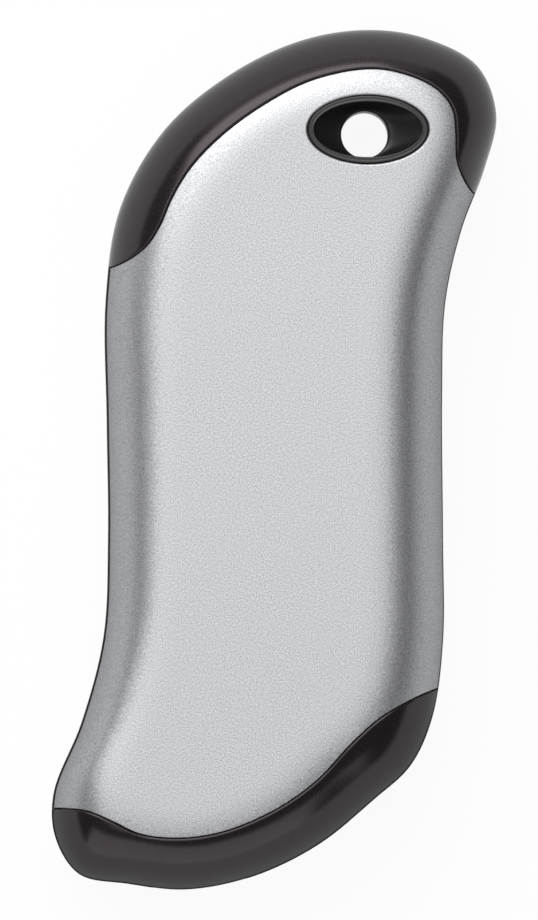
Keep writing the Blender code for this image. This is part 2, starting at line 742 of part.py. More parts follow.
def make_cradle():
    """The tray between the cells, open above and below each of them."""
    outline = rounded_outline(2 * CRADLE_HALF_WIDTH, 2 * CRADLE_HALF_LENGTH, CRADLE_CORNER)
    outline = [(CELL_X + x, CELL_Y + y) for x, y in outline]
    cradle = prism("battery_cradle", outline, -CRADLE_HALF_HEIGHT, CRADLE_HALF_HEIGHT,
                   flat_frame(), "white_plastic")
    half = CELL_LENGTH / 2 + END_SLOT
    radius = CELL_RADIUS + FIT_GAP
    for hand in (-1, 1):
        frame = along_y(CELL_X + hand * CELL_OFFSET, CELL_Y)
        combine(cradle, turned("bed", [(radius, -half), (radius, half)], frame))
    slots = []
    for end in (-1, 1):
        low, high = sorted((end * CELL_LENGTH / 2, end * half))
        outline = box_outline(2 * (CELL_OFFSET + TAB_WIDTH), TAB_WIDTH + 2 * FIT_GAP)
        slots.append(prism("slot", outline, low, high, along_y(CELL_X, CELL_Y)))
    combine(cradle, gather(slots))
    notches = []
    for end in (-1, 1):
        low, high = sorted((end * CELL_LENGTH / 2, end * half))
        depth = CRADLE_HALF_HEIGHT + OVERRUN
        outline = box_outline(TAB_TAIL_WIDTH + 2 * FIT_GAP, depth, (0, depth / 2))
        notches.append(prism("notch", outline, low, high, along_y(tail_x(end), CELL_Y)))
    return combine(cradle, gather(notches))


def tail_x(end):
    """Where a tab's tail hangs: in the groove, or beside it at the board's end."""
    return CELL_X if end > 0 else CELL_X - 3 * LEAD_PITCH


def make_tab(name, end):
    """The nickel strip over both cells' ends, with a tail for its lead."""
    place = end * (CELL_LENGTH / 2 + FIT_GAP + TAB_THICKNESS / 2)
    low = place - TAB_THICKNESS / 2
    outline = rounded_outline(2 * CELL_OFFSET + TAB_WIDTH, TAB_WIDTH, TAB_WIDTH / 4, 3)
    tab = prism(name, outline, low, low + TAB_THICKNESS, along_y(CELL_X, CELL_Y), "nickel")
    depth = CRADLE_HALF_HEIGHT + TAB_TAIL_DROP
    outline = box_outline(TAB_TAIL_WIDTH, depth, (0, depth / 2))
    tail = prism("tail", outline, low, low + TAB_THICKNESS, along_y(tail_x(end), CELL_Y))
    return combine(tab, tail, "UNION")


def wire(name, points, radius, look):
    """A round lead through points, with its corners eased."""
    eased = [Vector(points[0])]
    for before, here, after in zip(points, points[1:], points[2:]):
        here = Vector(here)
        for other in (before, after):
            reach = min((Vector(other) - here).length / 3, 2 * radius)
            eased.append(here + (Vector(other) - here).normalized() * reach)
    eased.append(Vector(points[-1]))
    curve = bpy.data.curves.new(name, "CURVE")
    curve.dimensions = "3D"
    curve.bevel_depth = radius
    curve.bevel_resolution = 2
    curve.use_fill_caps = True
    line = curve.splines.new("POLY")
    line.points.add(len(eased) - 1)
    for point, place in zip(line.points, eased):
        point.co = (place.x, place.y, MID + place.z, 1)
    made = bpy.data.objects.new(name, curve)
    curve.materials.append(material(look))
    bpy.context.scene.collection.objects.link(made)
    return made


def make_leads():
    """The leads of the tabs, heaters and thermistor, which all end at the board."""
    land_y = BOARD_EDGE_Y - LEAD_LANDING
    groove = CRADLE_HALF_HEIGHT + FIT_GAP + LEAD_RADIUS
    under_board = BOARD_BOTTOM - FIT_GAP
    start = CELL_Y + CELL_LENGTH / 2
    wire("positive_lead", ((tail_x(1), start, -groove), (tail_x(1), land_y, -groove),
                           (tail_x(1), land_y, under_board)), LEAD_RADIUS, "red_insulation")
    start = CELL_Y - CELL_LENGTH / 2 - FIT_GAP - TAB_THICKNESS - FIT_GAP
    wire("negative_lead", ((tail_x(-1), start, -groove), (tail_x(-1), land_y, -groove),
                           (tail_x(-1), land_y, under_board)), LEAD_RADIUS,
         "black_insulation")
    film = CELL_RADIUS + PAD_THICKNESS + FIT_GAP - LEAD_RADIUS + FIT_GAP / 2
    under_deck = DECK_TOP - FRAME_WALL - FIT_GAP - LEAD_RADIUS
    edge_y = CELL_Y - CELL_LENGTH / 2 + HEATER_MARGIN + LEAD_RADIUS
    film_y = edge_y + PAD_SHORTENING - 3 * LEAD_RADIUS
    for name, side in (("front", 1), ("rear", -1)):
        land = SEAT if side > 0 else under_board
        for number in (1, 2):
            x = CELL_X - number * LEAD_PITCH
            points = ((x, film_y, side * film), (x, edge_y, side * under_deck),
                      (x, land_y, side * under_deck), (x, land_y, land))
            wire(f"{name}_heater_lead_{number}", points, LEAD_RADIUS, "white_insulation")
    bead = CRADLE_HALF_HEIGHT + FIT_GAP + THERMISTOR_RADIUS
    start = CELL_Y - THERMISTOR_RADIUS - FIT_GAP
    points = ((CELL_X, start, bead), (CELL_X, land_y, bead), (CELL_X, land_y, SEAT))
    wire("thermistor_lead", points, THERMISTOR_LEAD_RADIUS, "black_insulation")
    profile = []
    for step in range(1, 6):
        turn = math.pi * step / 6
        profile.append((THERMISTOR_RADIUS * math.sin(turn), -THERMISTOR_RADIUS * math.cos(turn)))
    smooth(turned("thermistor", profile, along_y(CELL_X, CELL_Y, bead), "chip_black", 12))


def board_outline():
    """The board follows the body's lower end and stops short of the cradle."""
    ring = offset(OUTLINE, WALL_STACK + BOARD_EDGE_CLEARANCE)
    kept = []
    for index, point in enumerate(ring):
        before = ring[index - 1]
        if (point.y < BOARD_EDGE_Y) != (before.y < BOARD_EDGE_Y):
            kept.append(before.lerp(point, (BOARD_EDGE_Y - before.y) / (point.y - before.y)))
        if point.y < BOARD_EDGE_Y:
            kept.append(point)
    return [tuple(point) for point in kept]


def make_board():
    """The board, with holes for the necks of the two bosses that carry it."""
    board = prism("circuit_board", board_outline(), BOARD_BOTTOM, BOARD_TOP, flat_frame(),
                  "board_green")
    holes = []
    for place in BOSSES[:2]:
        radius = BOSS_NECK_RADIUS + FIT_GAP
        profile = [(radius, BOARD_BOTTOM - OVERRUN), (radius, BOARD_TOP + OVERRUN)]
        holes.append(turned("hole", profile, at_boss(place), sides=16))
    return combine(board, gather(holes))


def make_chip(name, size, centre, look, corner=None):
    """A block that sits on the board."""
    outline = box_outline(size[0], size[1])
    if corner:
        outline = rounded_outline(size[0], size[1], corner, 2)
    outline = [(centre[0] + x, centre[1] + y) for x, y in outline]
    return prism(name, outline, SEAT, SEAT + size[2], flat_frame(), look)


def make_electronics():
    """The chips, coil and capacitor on the board's upper side."""
    place = body_place(charger_share)
    make_chip("charger_chip", CHARGER_SIZE, place, "chip_black")
    chip_y = BOARD_EDGE_Y - CHIP_GAP - CONTROLLER_SIZE[1] / 2
    chip_x = body_place((controller_x_share, 0)).x
    make_chip("controller_chip", CONTROLLER_SIZE, (chip_x, chip_y), "chip_black")
    coil_x = USB_X + USB_WIDTH / 2 + CHIP_GAP + INDUCTOR_SIZE[0] / 2
    port_end = -BODY_LENGTH / 2 + PORT_RECESS + USB_LENGTH
    coil_y = port_end + CHIP_GAP
    make_chip("boost_inductor", INDUCTOR_SIZE, (coil_x, coil_y), "ferrite", INDUCTOR_CORNER)
    can_y = coil_y - INDUCTOR_SIZE[1] / 2 - CHIP_GAP - CAPACITOR_RADIUS
    can_x = USB_X + USB_WIDTH / 2 + CHIP_GAP + CAPACITOR_RADIUS
    edge = TAB_THICKNESS
    profile = [(CAPACITOR_RADIUS, SEAT), (CAPACITOR_RADIUS, SEAT + CAPACITOR_HEIGHT - edge),
               (CAPACITOR_RADIUS - edge, SEAT + CAPACITOR_HEIGHT)]
    frame = Matrix.Translation((can_x, can_y, MID))
    smooth(turned("output_capacitor", profile, frame, "nickel", 16))


def make_socket(name, outline, inner, length, frame):
    """A pressed metal socket shell, open at its mouth and closed behind."""
    outlines = (inner, inner, outline, outline)
    return stepped(name, outlines, (-length + USB_WALL, 0, 0, -length), frame, "nickel")


def micro_outline(inset=0):
    """The charging socket's outline, narrowed at its lower corners."""
    half = MICRO_WIDTH / 2 - inset
    tall = MICRO_HEIGHT / 2 - inset
    narrow_share = 0.72
    knee_share = 0.1
    corners = ((half, tall), (-half, tall), (-half, -knee_share * tall),
               (-narrow_share * half, -tall), (narrow_share * half, -tall),
               (half, -knee_share * tall))
    return [(x, y + MICRO_Z) for x, y in corners]


def make_sockets():
    """Both sockets, with their contact tongues."""
    outline = box_outline(USB_WIDTH, USB_HEIGHT)
    inner = box_outline(USB_WIDTH - 2 * USB_WALL, USB_HEIGHT - 2 * USB_WALL)
    make_socket("usb_a_shell", outline, inner, USB_LENGTH, USB_FRAME)
    grow = USB_WALL + FIT_GAP
    block = box_outline(USB_WIDTH - 2 * grow, USB_HEIGHT - 2 * grow)
    rise = (USB_HEIGHT - 2 * grow - USB_TONGUE_THICKNESS) / 2
    tongue = box_outline(USB_WIDTH - 4 * grow, USB_TONGUE_THICKNESS, (0, rise))
    back = -USB_LENGTH + grow
    front = -USB_TONGUE_RECESS
    middle_z = back + USB_BLOCK_LENGTH
    stepped("usb_a_tongue", (block, block, tongue, tongue), (back, middle_z, middle_z, front),
            USB_FRAME, "white_plastic")
    make_socket("micro_usb_shell", micro_outline(), micro_outline(USB_WALL), MICRO_LENGTH,
                MICRO_FRAME)
    block = micro_outline(grow)
    half_width = MICRO_WIDTH / 4
    low = MICRO_Z - MICRO_TONGUE_THICKNESS / 2
    high = MICRO_Z + MICRO_TONGUE_THICKNESS / 2
    tongue = [(half_width, high), (-half_width, high), (-half_width, MICRO_Z),
              (-half_width, low), (half_width, low), (half_width, MICRO_Z)]
    back = -MICRO_LENGTH + grow
    middle_z = back + MICRO_BLOCK_LENGTH
    stepped("micro_usb_tongue", (block, block, tongue, tongue),
            (back, middle_z, middle_z, -USB_TONGUE_RECESS), MICRO_FRAME, "chip_black")


def make_button():
    """The power button, flush with the bumper, and the switch that it works."""
    cap = obround(BUTTON_LENGTH, BUTTON_HEIGHT)
    lip = obround(BUTTON_LENGTH, BUTTON_HEIGHT, BUTTON_LIP)
    front = WALL_STACK + FIT_GAP
    heights = (OVERRUN, -front, -front, -front - BUTTON_LIP_THICKNESS)
    button = stepped("power_button", (cap, cap, lip, lip), heights, BUTTON_FRAME,
                     "black_rubbery_plastic")
    combine(button, whole_skin("skin", 0), "INTERSECT")
    lift = SEAT + SWITCH_HEIGHT / 2
    outline = box_outline(SWITCH_WIDTH, SWITCH_HEIGHT, (0, lift))
    switch = prism("tact_switch", outline, -SWITCH_FRONT - SWITCH_DEPTH, -SWITCH_FRONT,
                   BUTTON_FRAME, "chip_black")
    sunk = STEM_LENGTH - STEM_EXPOSED + BUTTON_TRAVEL + FIT_GAP
    radius = STEM_RADIUS + FIT_GAP
    profile = [(radius, -SWITCH_FRONT - sunk), (radius, -SWITCH_FRONT + OVERRUN)]
    combine(switch, turned("bore", profile, BUTTON_FRAME, sides=16))
    tip = -SWITCH_FRONT + STEM_EXPOSED
    profile = [(STEM_RADIUS, tip - STEM_LENGTH), (STEM_RADIUS, tip)]
    stem = turned("switch_stem", profile, BUTTON_FRAME, "red_insulation", 16)
    for piece in (button, stem):
        set_origin(piece, BUTTON_FRAME.translation)
        smooth(piece)


def set_origin(piece, place):
    """Move a piece's origin to a place and leave its shape where it is."""
    piece.data.transform(Matrix.Translation(-place))
    piece.location = place


def make_indicator():
    """The clear lens in the bumper and the four lamps behind its foot."""
    lens = rounded_outline(LENS_LENGTH, LENS_HEIGHT, LENS_CORNER)
    foot = rounded_outline(LENS_LENGTH + 2 * LENS_LIP, 2 * LENS_FOOT_HALF, LENS_CORNER)
    front = WALL_STACK + FIT_GAP
    back = front + LENS_LIP_THICKNESS
    window = stepped("indicator_lens", (lens, lens, foot, foot), (OVERRUN, -front, -front, -back),
                     LENS_FRAME, "clear_polycarbonate")
    combine(window, whole_skin("skin", SHELL_STEP / 2), "INTERSECT")
    smooth(window)
    face = -back - FIT_GAP
    for number in range(LED_COUNT):
        along = LED_PITCH * (number - (LED_COUNT - 1) / 2)
        outline = box_outline(LED_WIDTH, LED_HEIGHT, (along, SEAT + LED_HEIGHT / 2))
        prism(f"status_led_{number + 1}", outline, face - LED_DEPTH, face, LENS_FRAME,
              "white_plastic")


def make_screws():
    """The four screws, put in from the rear, with their heads under the metal."""
    for number, place in enumerate(BOSSES, 1):
        top = -DECK_TOP + FIT_GAP
        under = top + SCREW_HEAD_HEIGHT
        profile = [(SCREW_HEAD_RADIUS, top), (SCREW_HEAD_RADIUS, under),
                   (SCREW_RADIUS, under), (SCREW_RADIUS, SCREW_REACH - SCREW_RADIUS),
                   (SCREW_RADIUS / 2, SCREW_REACH)]
        smooth(turned(f"case_screw_{number}", profile, at_boss(place), "zinc_steel", 12))


def make_heater(name, side):
    """The foam pad on the cells and the heater film between it and the metal."""
    foot = CELL_RADIUS + FIT_GAP
    heights = sorted((side * foot, side * (foot + PAD_THICKNESS)))
    prism(f"{name}_pad", heater_outline(0, PAD_SHORTENING), *heights, flat_frame(), "foam")
    foot += PAD_THICKNESS + FIT_GAP
    heights = sorted((side * foot, side * (foot + HEATER_THICKNESS)))
    prism(f"{name}_heater", heater_outline(), *heights, flat_frame(), "heater_film")


for old in list(bpy.data.objects):
    bpy.data.objects.remove(old)

for half, direction in (("front", 1), ("rear", -1)):
    make_shell(f"{half}_shell", direction)
    make_frame(f"{half}_frame", direction)
    make_eyelet(f"{half}_eyelet", direction)
    make_heater(half, direction)
make_cell("cell_left", -1)
make_cell("cell_right", 1)
make_cradle()
make_tab("positive_tab", 1)
make_tab("negative_tab", -1)
make_leads()
make_board()
make_electronics()
make_sockets()
make_button()
make_indicator()
make_screws()
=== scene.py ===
"""The finished look of the rechargeable hand warmer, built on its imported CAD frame.

The metal shells, the bumper halves, the eyelets, the button, the lens and the sockets
are made again here with finer curves and eased edges. The other CAD nodes stay, with
better materials. Lengths are in metres.
"""
from math import asin, cos, exp, pi, radians, sin, sqrt

import bmesh
import bpy
from mathutils import Matrix, Vector
from mathutils.bvhtree import BVHTree
from mathutils.geometry import delaunay_2d_cdt
from mathutils.kdtree import KDTree


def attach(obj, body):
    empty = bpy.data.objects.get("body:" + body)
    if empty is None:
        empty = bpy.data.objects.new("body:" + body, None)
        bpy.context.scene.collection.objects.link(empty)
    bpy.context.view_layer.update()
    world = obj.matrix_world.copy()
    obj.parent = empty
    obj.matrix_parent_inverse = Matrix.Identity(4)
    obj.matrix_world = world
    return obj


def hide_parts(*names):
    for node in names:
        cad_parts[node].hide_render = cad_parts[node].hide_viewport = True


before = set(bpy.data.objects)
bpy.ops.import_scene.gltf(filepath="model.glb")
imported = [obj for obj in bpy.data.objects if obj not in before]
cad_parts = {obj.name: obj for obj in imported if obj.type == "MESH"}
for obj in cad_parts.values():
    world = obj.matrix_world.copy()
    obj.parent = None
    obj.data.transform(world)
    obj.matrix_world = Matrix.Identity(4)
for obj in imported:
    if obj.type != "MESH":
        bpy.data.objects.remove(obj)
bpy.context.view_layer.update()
scene = bpy.context.scene

# The part's own sizes, as its source has them, or rounded.
BODY_WIDTH = 0.0641434
BODY_LENGTH = 0.124
CENTRE = Vector((0.0320744, 0.062))
HALF_THICKNESS = 0.01375
MID = HALF_THICKNESS
SHELL_STEP = 0.00025
SHELL_WALL = 0.0008
RECESS = 0.00135
WALL_STACK = 0.00255
BAND_HALF = 0.0033
FIT_GAP = 0.0003
SEAM_GAP = 0.0003
EYELET_LENGTH = 0.0178
EYELET_HEIGHT = 0.0101
EYELET_RIM = 0.0012
BORE_RADIUS = 0.00335
EYELET_WALL = 0.0011
BOWL_DEPTH = 0.0026
BORE_OFFSET = 0.0005
EYELET_DROP = 0.00012
USB_WIDTH = 0.0131
USB_HEIGHT = 0.0057
USB_LENGTH = 0.014
USB_WALL = 0.0003
PORT_RECESS = 0.0019
MICRO_WIDTH = 0.0075
MICRO_HEIGHT = 0.0026
MICRO_LENGTH = 0.0055
MICRO_RECESS = 0.0026
MICRO_Z = -0.00155
TONGUE_THICKNESS = 0.0019
TONGUE_RECESS = 0.0012
USB_BLOCK = 0.004
MICRO_TONGUE = 0.0006
MICRO_BLOCK = 0.0014
SEAT = -0.00285
BUTTON_LENGTH = 0.0095
BUTTON_HEIGHT = 0.0042
BUTTON_LIP = 0.001
LENS_LENGTH = 0.0064
LENS_HEIGHT = 0.0018
LENS_CORNER = 0.0006
LENS_LIP = 0.0007
LIP_THICKNESS = 0.0008
LENS_FOOT_HALF = 0.0026
USB_X = -0.0105864
MICRO_X = -0.0229864
OVERRUN = 0.002
CELL_RADIUS = 0.0092
CELL_X = 0.00022177
CELL_Y = -0.0002
DECK_TOP = 0.01265
HEATER_WIDTH = 0.02576
HEATER_LENGTH = 0.0634
HEATER_CORNER = 0.004
BOSS_RADIUS = 0.0025
BOSS_NECK = 0.0019
BOARD_SEAT = 0.00465
SCREW_BORE = 0.0013
SCREW_HEAD = 0.0021
SCREW_SEAT = 0.01085
RIB_THICKNESS = 0.0012
RIB_INNER = 0.0201
RIB_OUTER = 0.0222
RIB_HEIGHT = 0.004
RIB_PITCH = 0.0208
EYELET_SHARE = (712, 883)
BOSS_PLACES = ((-0.02008, -0.041912), (0.005514, -0.0384), (-0.004814, 0.038),
               (0.020523, 0.038))
BUTTON_KNOT = 0.4224
LENS_KNOT = 0.365

# Knots of closed rings, in thousandths of the body's width and length.
OUTLINE_SHARES = (
    (708.1, 997.1), (838.6, 987.8), (957, 955), (999, 899), (973, 837), (921, 765), (885, 681),
    (878, 574), (880, 406), (880, 290), (856, 201), (807, 145), (726, 106), (600, 53), (452, 16),
    (303, 1), (173, 8), (65, 19), (11.9, 60.8), (7, 112), (70, 195), (119, 294), (129, 406),
    (126, 545), (123.8, 684.9), (156.8, 791.3), (257.6, 882.5), (404.4, 946.1), (561.4, 984.8),
)
FACE_SHARES = (
    (712, 927), (793, 922), (847, 908), (870, 883), (854, 838), (807, 776), (766, 690),
    (751, 578), (747, 406), (741, 298), (710, 224), (659, 188), (596, 162), (515, 120),
    (416, 90), (303, 76), (211, 85), (137, 103), (117, 123), (128, 147), (187, 213), (234, 301),
    (249, 406), (252, 545), (256, 685), (290, 764), (375, 836), (474, 885), (600, 916),
)
TRIM_SHARES = (
    (20, 707), (128, 721), (173, 731), (216, 748), (245, 771), (270, 801), (312, 837),
    (380, 874), (474, 910), (587, 940), (721, 953), (811, 944), (872, 927), (903, 905),
    (910, 877), (912, 847), (930, 822), (951, 807), (1009, 783), (964, 252), (874, 235),
    (811, 221), (739, 199), (676, 170), (596, 126), (501, 92), (384, 67), (285, 60), (200, 65),
    (137, 80), (79, 92), (7, 95), (-70, 94),
)

# How finely this file draws the same forms.
SPAN_STEPS = 8
SKIN_BANDS = 22
HOLLOW_BANDS = 8
BAND_STEPS = 5
ROLL_STEPS = 5
END_STEPS = 16
OVAL_SIDES = 96
THROAT_SIDES = 48
DISC_SIDES = 32
FACE_GRID = 0.0015
# The triangulation works in millimetres, and takes points this near for one.
MILLIMETRES = 1000
MERGE_REACH = 1e-6
NO_AREA = 1e-24
# A face corner takes the sheet's normal where it lies this near and agrees this much.
SAME_POINT = 2e-7
ON_SHEET = 2e-6
CREASE = 0.7

# How the edges are eased, and how wide the lines between metal and black are.
SHELL_ROLL = 0.00016
FRAME_ROLL = 0.00028
HOLE_ROLL = 0.0003
TRIM_LINE = 0.00016
HOLE_LINE = 0.00009
# Normals are averaged this far around, the more the further up they point.
SOFT_REACH = 0.0034
SOFT_FROM = 0.55
SOFT_SPAN = 0.3
# The sides stand steeper than the solids' up to about this share of the half thickness.
WALL_SHARE = 0.38
# On the right the photograph shows metal right out to the edge.
SHELL_PROUD = 0.0002
# The face is nearer to the camera than the outline, so its lines are measured larger.
NEARER = 0.0041
EYELET_LOWER = 0.00012
RIM_SEEN = 0.00095
EYELET_TALLER = 0.0001
BORE_LOWER = 0.00012

# The eyelet's throat, the pockets behind the wall, and how many posts carry the board.
THROAT_LOW = 0.009
BUTTON_POCKET = 0.0039
LENS_POCKET = 0.0024
BOARD_POSTS = 2

# The noise's values between which a material's colour and roughness change.
FLECKS = (0.3, 0.7)
# Gloss of the black: its full level, its least at the lower end, how much sooner it fades there,
# and where that end lies. The weaker gloss at the lower end is painted shade, for the shaded
# floor that end would mirror.
FULL_GLOSS = 0.5
LEAST_GLOSS = 0.27
SHADE_FADES_EARLIER = 0.09
PAINTED_SHADE_END = (-0.04, 0.01)

# The studio. A light is a name, a place, a width, a height and a power.
FLOOR_REACH = 3
WHITE_SHARE = 0.93
ROOM_LEVEL = 0.06
LIGHT_TARGET = Vector((0, 0, 0.014))
LIGHTS = (
    ("overhead_light", (-0.045, -0.04, 1.2), 1.1, 1.7, 8.4),
    ("top_light", (-0.223, 0.551, 0.535), 0.82, 0.7, 6.9),
    ("back_panel", (-0.204, 1.156, 0.249), 1.5, 0.5, 1.41),
    ("front_panel", (-0.08, -1.138, 0.371), 2.1, 0.76, 6.67),
)
SENSOR = 36
LENS = 900
FRAME_HEIGHT = 0.1322
CAMERA_PLACE = (-0.00065, -0.00014)


# Rings of the outline and the skin

def full_turn(sides):
    """The angles of a whole turn in equal steps."""
    return [2 * pi * index / sides for index in range(sides)]


def quarter_turn(steps):
    """The angles of a quarter turn in equal steps, both ends among them."""
    return [pi / 2 * step / steps for step in range(steps + 1)]


def spline_point(knots, index, along):
    """A point on the span after a knot of a closed ring, on a centripetal spline."""
    near = [knots[(index + shift) % len(knots)] for shift in (-1, 0, 1, 2)]
    times = [0]
    for first, second in zip(near, near[1:]):
        times.append(times[-1] + sqrt((second - first).length))
    time = times[1] + along * (times[2] - times[1])

    def mix(first, second, start, end):
        return first.lerp(second, (time - start) / (end - start))

    ones = [mix(near[i], near[i + 1], times[i], times[i + 1]) for i in range(3)]
    twos = [mix(ones[i], ones[i + 1], times[i], times[i + 2]) for i in range(2)]
    return mix(twos[0], twos[1], times[1], times[2])


def body_place(share):
    """The place of some thousandths of the body's width and length."""
    return Vector((share[0] / 1000 * BODY_WIDTH, share[1] / 1000 * BODY_LENGTH)) - CENTRE


def spline(shares):
    """A fine closed ring through some knots."""
    knots = [body_place(share) for share in shares]
    return [spline_point(knots, index, step / SPAN_STEPS)
            for index in range(len(knots)) for step in range(SPAN_STEPS)]


def inward(ring):
    """For each point of a clockwise ring, the unit vector that points into the ring."""
    normals = []
    for index in range(len(ring)):
        ahead = ring[(index + 1) % len(ring)] - ring[index - 1]
        normals.append(Vector((ahead.y, -ahead.x)).normalized())
    return normals


def offset(ring, inset):
    """The ring moved in by an inset, or out by a negative one."""
    return [point + inset * normal for point, normal in zip(ring, inward(ring))]


OUTLINE = spline(OUTLINE_SHARES)
FACE = spline(FACE_SHARES)
COUNT = len(OUTLINE)


def rim_ring(inset):
    """The outline moved in, and the metal's less far where it faces right."""
    proud = SHELL_PROUD if inset == SHELL_STEP else 0
    return [point + (inset - proud * max(0, -normal.x) ** 2) * normal
            for point, normal in zip(OUTLINE, inward(OUTLINE))]


def section(angle):
    """How far the skin has gone across at an angle, and how fast: steep near the seam."""
    fade = exp(-(sin(angle) / WALL_SHARE) ** 2)
    round_part = 1 - cos(angle)
    across = round_part * (1 - fade)
    rate = (sin(angle) * (1 - fade)
            + round_part * fade * 2 * sin(angle) * cos(angle) / WALL_SHARE ** 2)
    return across, rate


def crest(inset):
    """How high the skin's flat face lies over the mid-plane."""
    return HALF_THICKNESS + SHELL_STEP - inset


def skin_row(inset, angle):
    """A ring of the front half's skin and its outward normals, at an angle up to a quarter."""
    across, rate = section(angle)
    pairs = list(zip(rim_ring(inset), FACE))
    z = MID + crest(inset) * sin(angle)
    ring = [Vector((*rim.lerp(end, across), z)) for rim, end in pairs]
    normals = []
    for index, (rim, end) in enumerate(pairs):
        along = ring[(index + 1) % COUNT] - ring[index - 1]
        climb = Vector((*((end - rim) * rate), crest(inset) * cos(angle)))
        normals.append(climb.cross(along).normalized())
    return ring, normals


def ring_angles(inset, low, bands):
    """The angles of the skin's rings from a height above the mid-plane."""
    first = asin(low / crest(inset))
    return [first + (pi / 2 - first) * band / bands for band in range(bands + 1)]


def strip_faces(rows, size, closed=False):
    """Quads between neighbouring rows, each a closed ring of equally many points."""
    faces = []
    for row in range(rows if closed else rows - 1):
        here, there = row * size, (row + 1) % rows * size
        for index in range(size):
            after = (index + 1) % size
            faces.append((here + index, here + after, there + after, there + index))
    return faces


class Skin:
    """The front half's smooth skin at one inset: its point and normal over any XY."""

    def __init__(self, inset, low=0, bands=2 * SKIN_BANDS):
        self.points = points = []
        self.normals = []
        self.faces = []
        for angle in ring_angles(inset, low, bands):
            ring, normals = skin_row(inset, angle)
            points += ring
            self.normals += normals
        for a, b, c, d in strip_faces(bands + 1, COUNT):
            self.faces += [(a, c, b), (a, d, c)]
        cap = len(points) - COUNT
        top = [point.xy * MILLIMETRES for point in points[cap:]]
        made = delaunay_2d_cdt(top, [], [list(range(COUNT))[::-1]], 1, MERGE_REACH)
        for face in made[2]:
            a, b, c = (cap + made[3][index][0] for index in face)
            turn = (points[b] - points[a]).xy.cross((points[c] - points[a]).xy)
            self.faces.append((a, b, c) if turn > 0 else (a, c, b))
        self.tree = BVHTree.FromPolygons(points, self.faces)

    def place(self, x, y):
        """The skin's point and smooth normal over a place."""
        hit, _, index, _ = self.tree.ray_cast(Vector((x, y, 1)), Vector((0, 0, -1)))
        if hit is None:
            hit, _, index, _ = self.tree.find_nearest(Vector((x, y, MID)))
        return hit, blend_normal(self, hit, index)


def blend_normal(sheet, place, index):
    """The normals of a triangle's corners, blended at a place in it."""
    corners = sheet.faces[index]
    a, b, c = (sheet.points[corner] for corner in corners)
    whole = (b - a).cross(c - a)
    size = whole.length_squared
    second = third = 0
    if size > NO_AREA:
        second = (c - a).cross(place - a).dot(-whole) / size
        third = (b - a).cross(place - a).dot(whole) / size
    total = Vector()
    for weight, corner in zip((1 - second - third, second, third), corners):
        total += weight * sheet.normals[corner]
    return total.normalized()


def inside(loop, place):
    """Whether a place is inside a closed XY loop."""
    x, y = place.xy
    found = False
    last = loop[-1]
    for point in loop:
        if (point.y > y) != (last.y > y):
            if x < (last.x - point.x) * (y - point.y) / (last.y - point.y) + point.x:
                found = not found
        last = point
    return found


# Sheets, which are meshes with their own normals

def placed(name, data):
    """A new object in the scene."""
    made = bpy.data.objects.new(name, data)
    scene.collection.objects.link(made)
    return made


class Sheet:
    """Points with normals, and faces that turn counter-clockwise seen from outside."""

    def __init__(self):
        self.points = []
        self.normals = []
        self.faces = []

    def add(self, point, normal):
        self.points.append(point)
        self.normals.append(normal)
        return len(self.points) - 1

    def quad(self, a, b, c, d):
        self.faces += [(a, b, c), (a, c, d)]

    def pruned(self):
        """The sheet without the points that no face uses."""
        used = sorted({index for face in self.faces for index in face})
        place = {index: number for number, index in enumerate(used)}
        self.points = [self.points[index] for index in used]
        self.normals = [self.normals[index] for index in used]
        self.faces = [tuple(place[index] for index in face) for face in self.faces]
        return self

    def mirrored(self):
        """The same sheet on the rear half."""
        other = Sheet()
        other.points = [Vector((p.x, p.y, 2 * MID - p.z)) for p in self.points]
        other.normals = [Vector((n.x, n.y, -n.z)) for n in self.normals]
        other.faces = [tuple(reversed(face)) for face in self.faces]
        return other

    def mesh(self, name, finish):
        """A mesh object of the sheet."""
        mesh = bpy.data.meshes.new(name)
        mesh.from_pydata(self.points, [], self.faces)
        mesh.materials.append(finish)
        return placed(name, mesh)


def set_normals(made, sheet):
    """Gives each face corner the sheet's normal there, where the face agrees with it."""
    tree = BVHTree.FromPolygons(sheet.points, sheet.faces)
    exact = KDTree(len(sheet.points))
    for index, point in enumerate(sheet.points):
        exact.insert(point, index)
    exact.balance()
    mesh = made.data
    corners = []
    for face in mesh.polygons:
        for vert in face.vertices:
            place = mesh.vertices[vert].co
            normal = face.normal
            for _, near, distance in exact.find_n(place, 3):
                if distance < SAME_POINT and sheet.normals[near].dot(face.normal) > CREASE:
                    normal = sheet.normals[near]
                    break
            else:
                hit, _, index, distance = tree.find_nearest(place)
                if distance < ON_SHEET:
                    smooth = blend_normal(sheet, hit, index)
                    if smooth.dot(face.normal) > CREASE:
                        normal = smooth
            corners.append(tuple(normal))
    mesh.polygons.foreach_set("use_smooth", [True] * len(mesh.polygons))
    mesh.normals_split_custom_set(corners)
    return made


# The skin cut along the trim

def face_grid():
    """A grid of places inside the flat face, in millimetres."""
    inner = offset(FACE, FACE_GRID / 2)
    right = max(point.x for point in FACE)
    top = max(point.y for point in FACE)
    places = []
    y = min(point.y for point in FACE)
    while y < top:
        x = min(point.x for point in FACE)
        while x < right:
            if inside(inner, Vector((x, y))):
                places.append(Vector((x, y)) * MILLIMETRES)
            x += FACE_GRID
        y += FACE_GRID
    return places


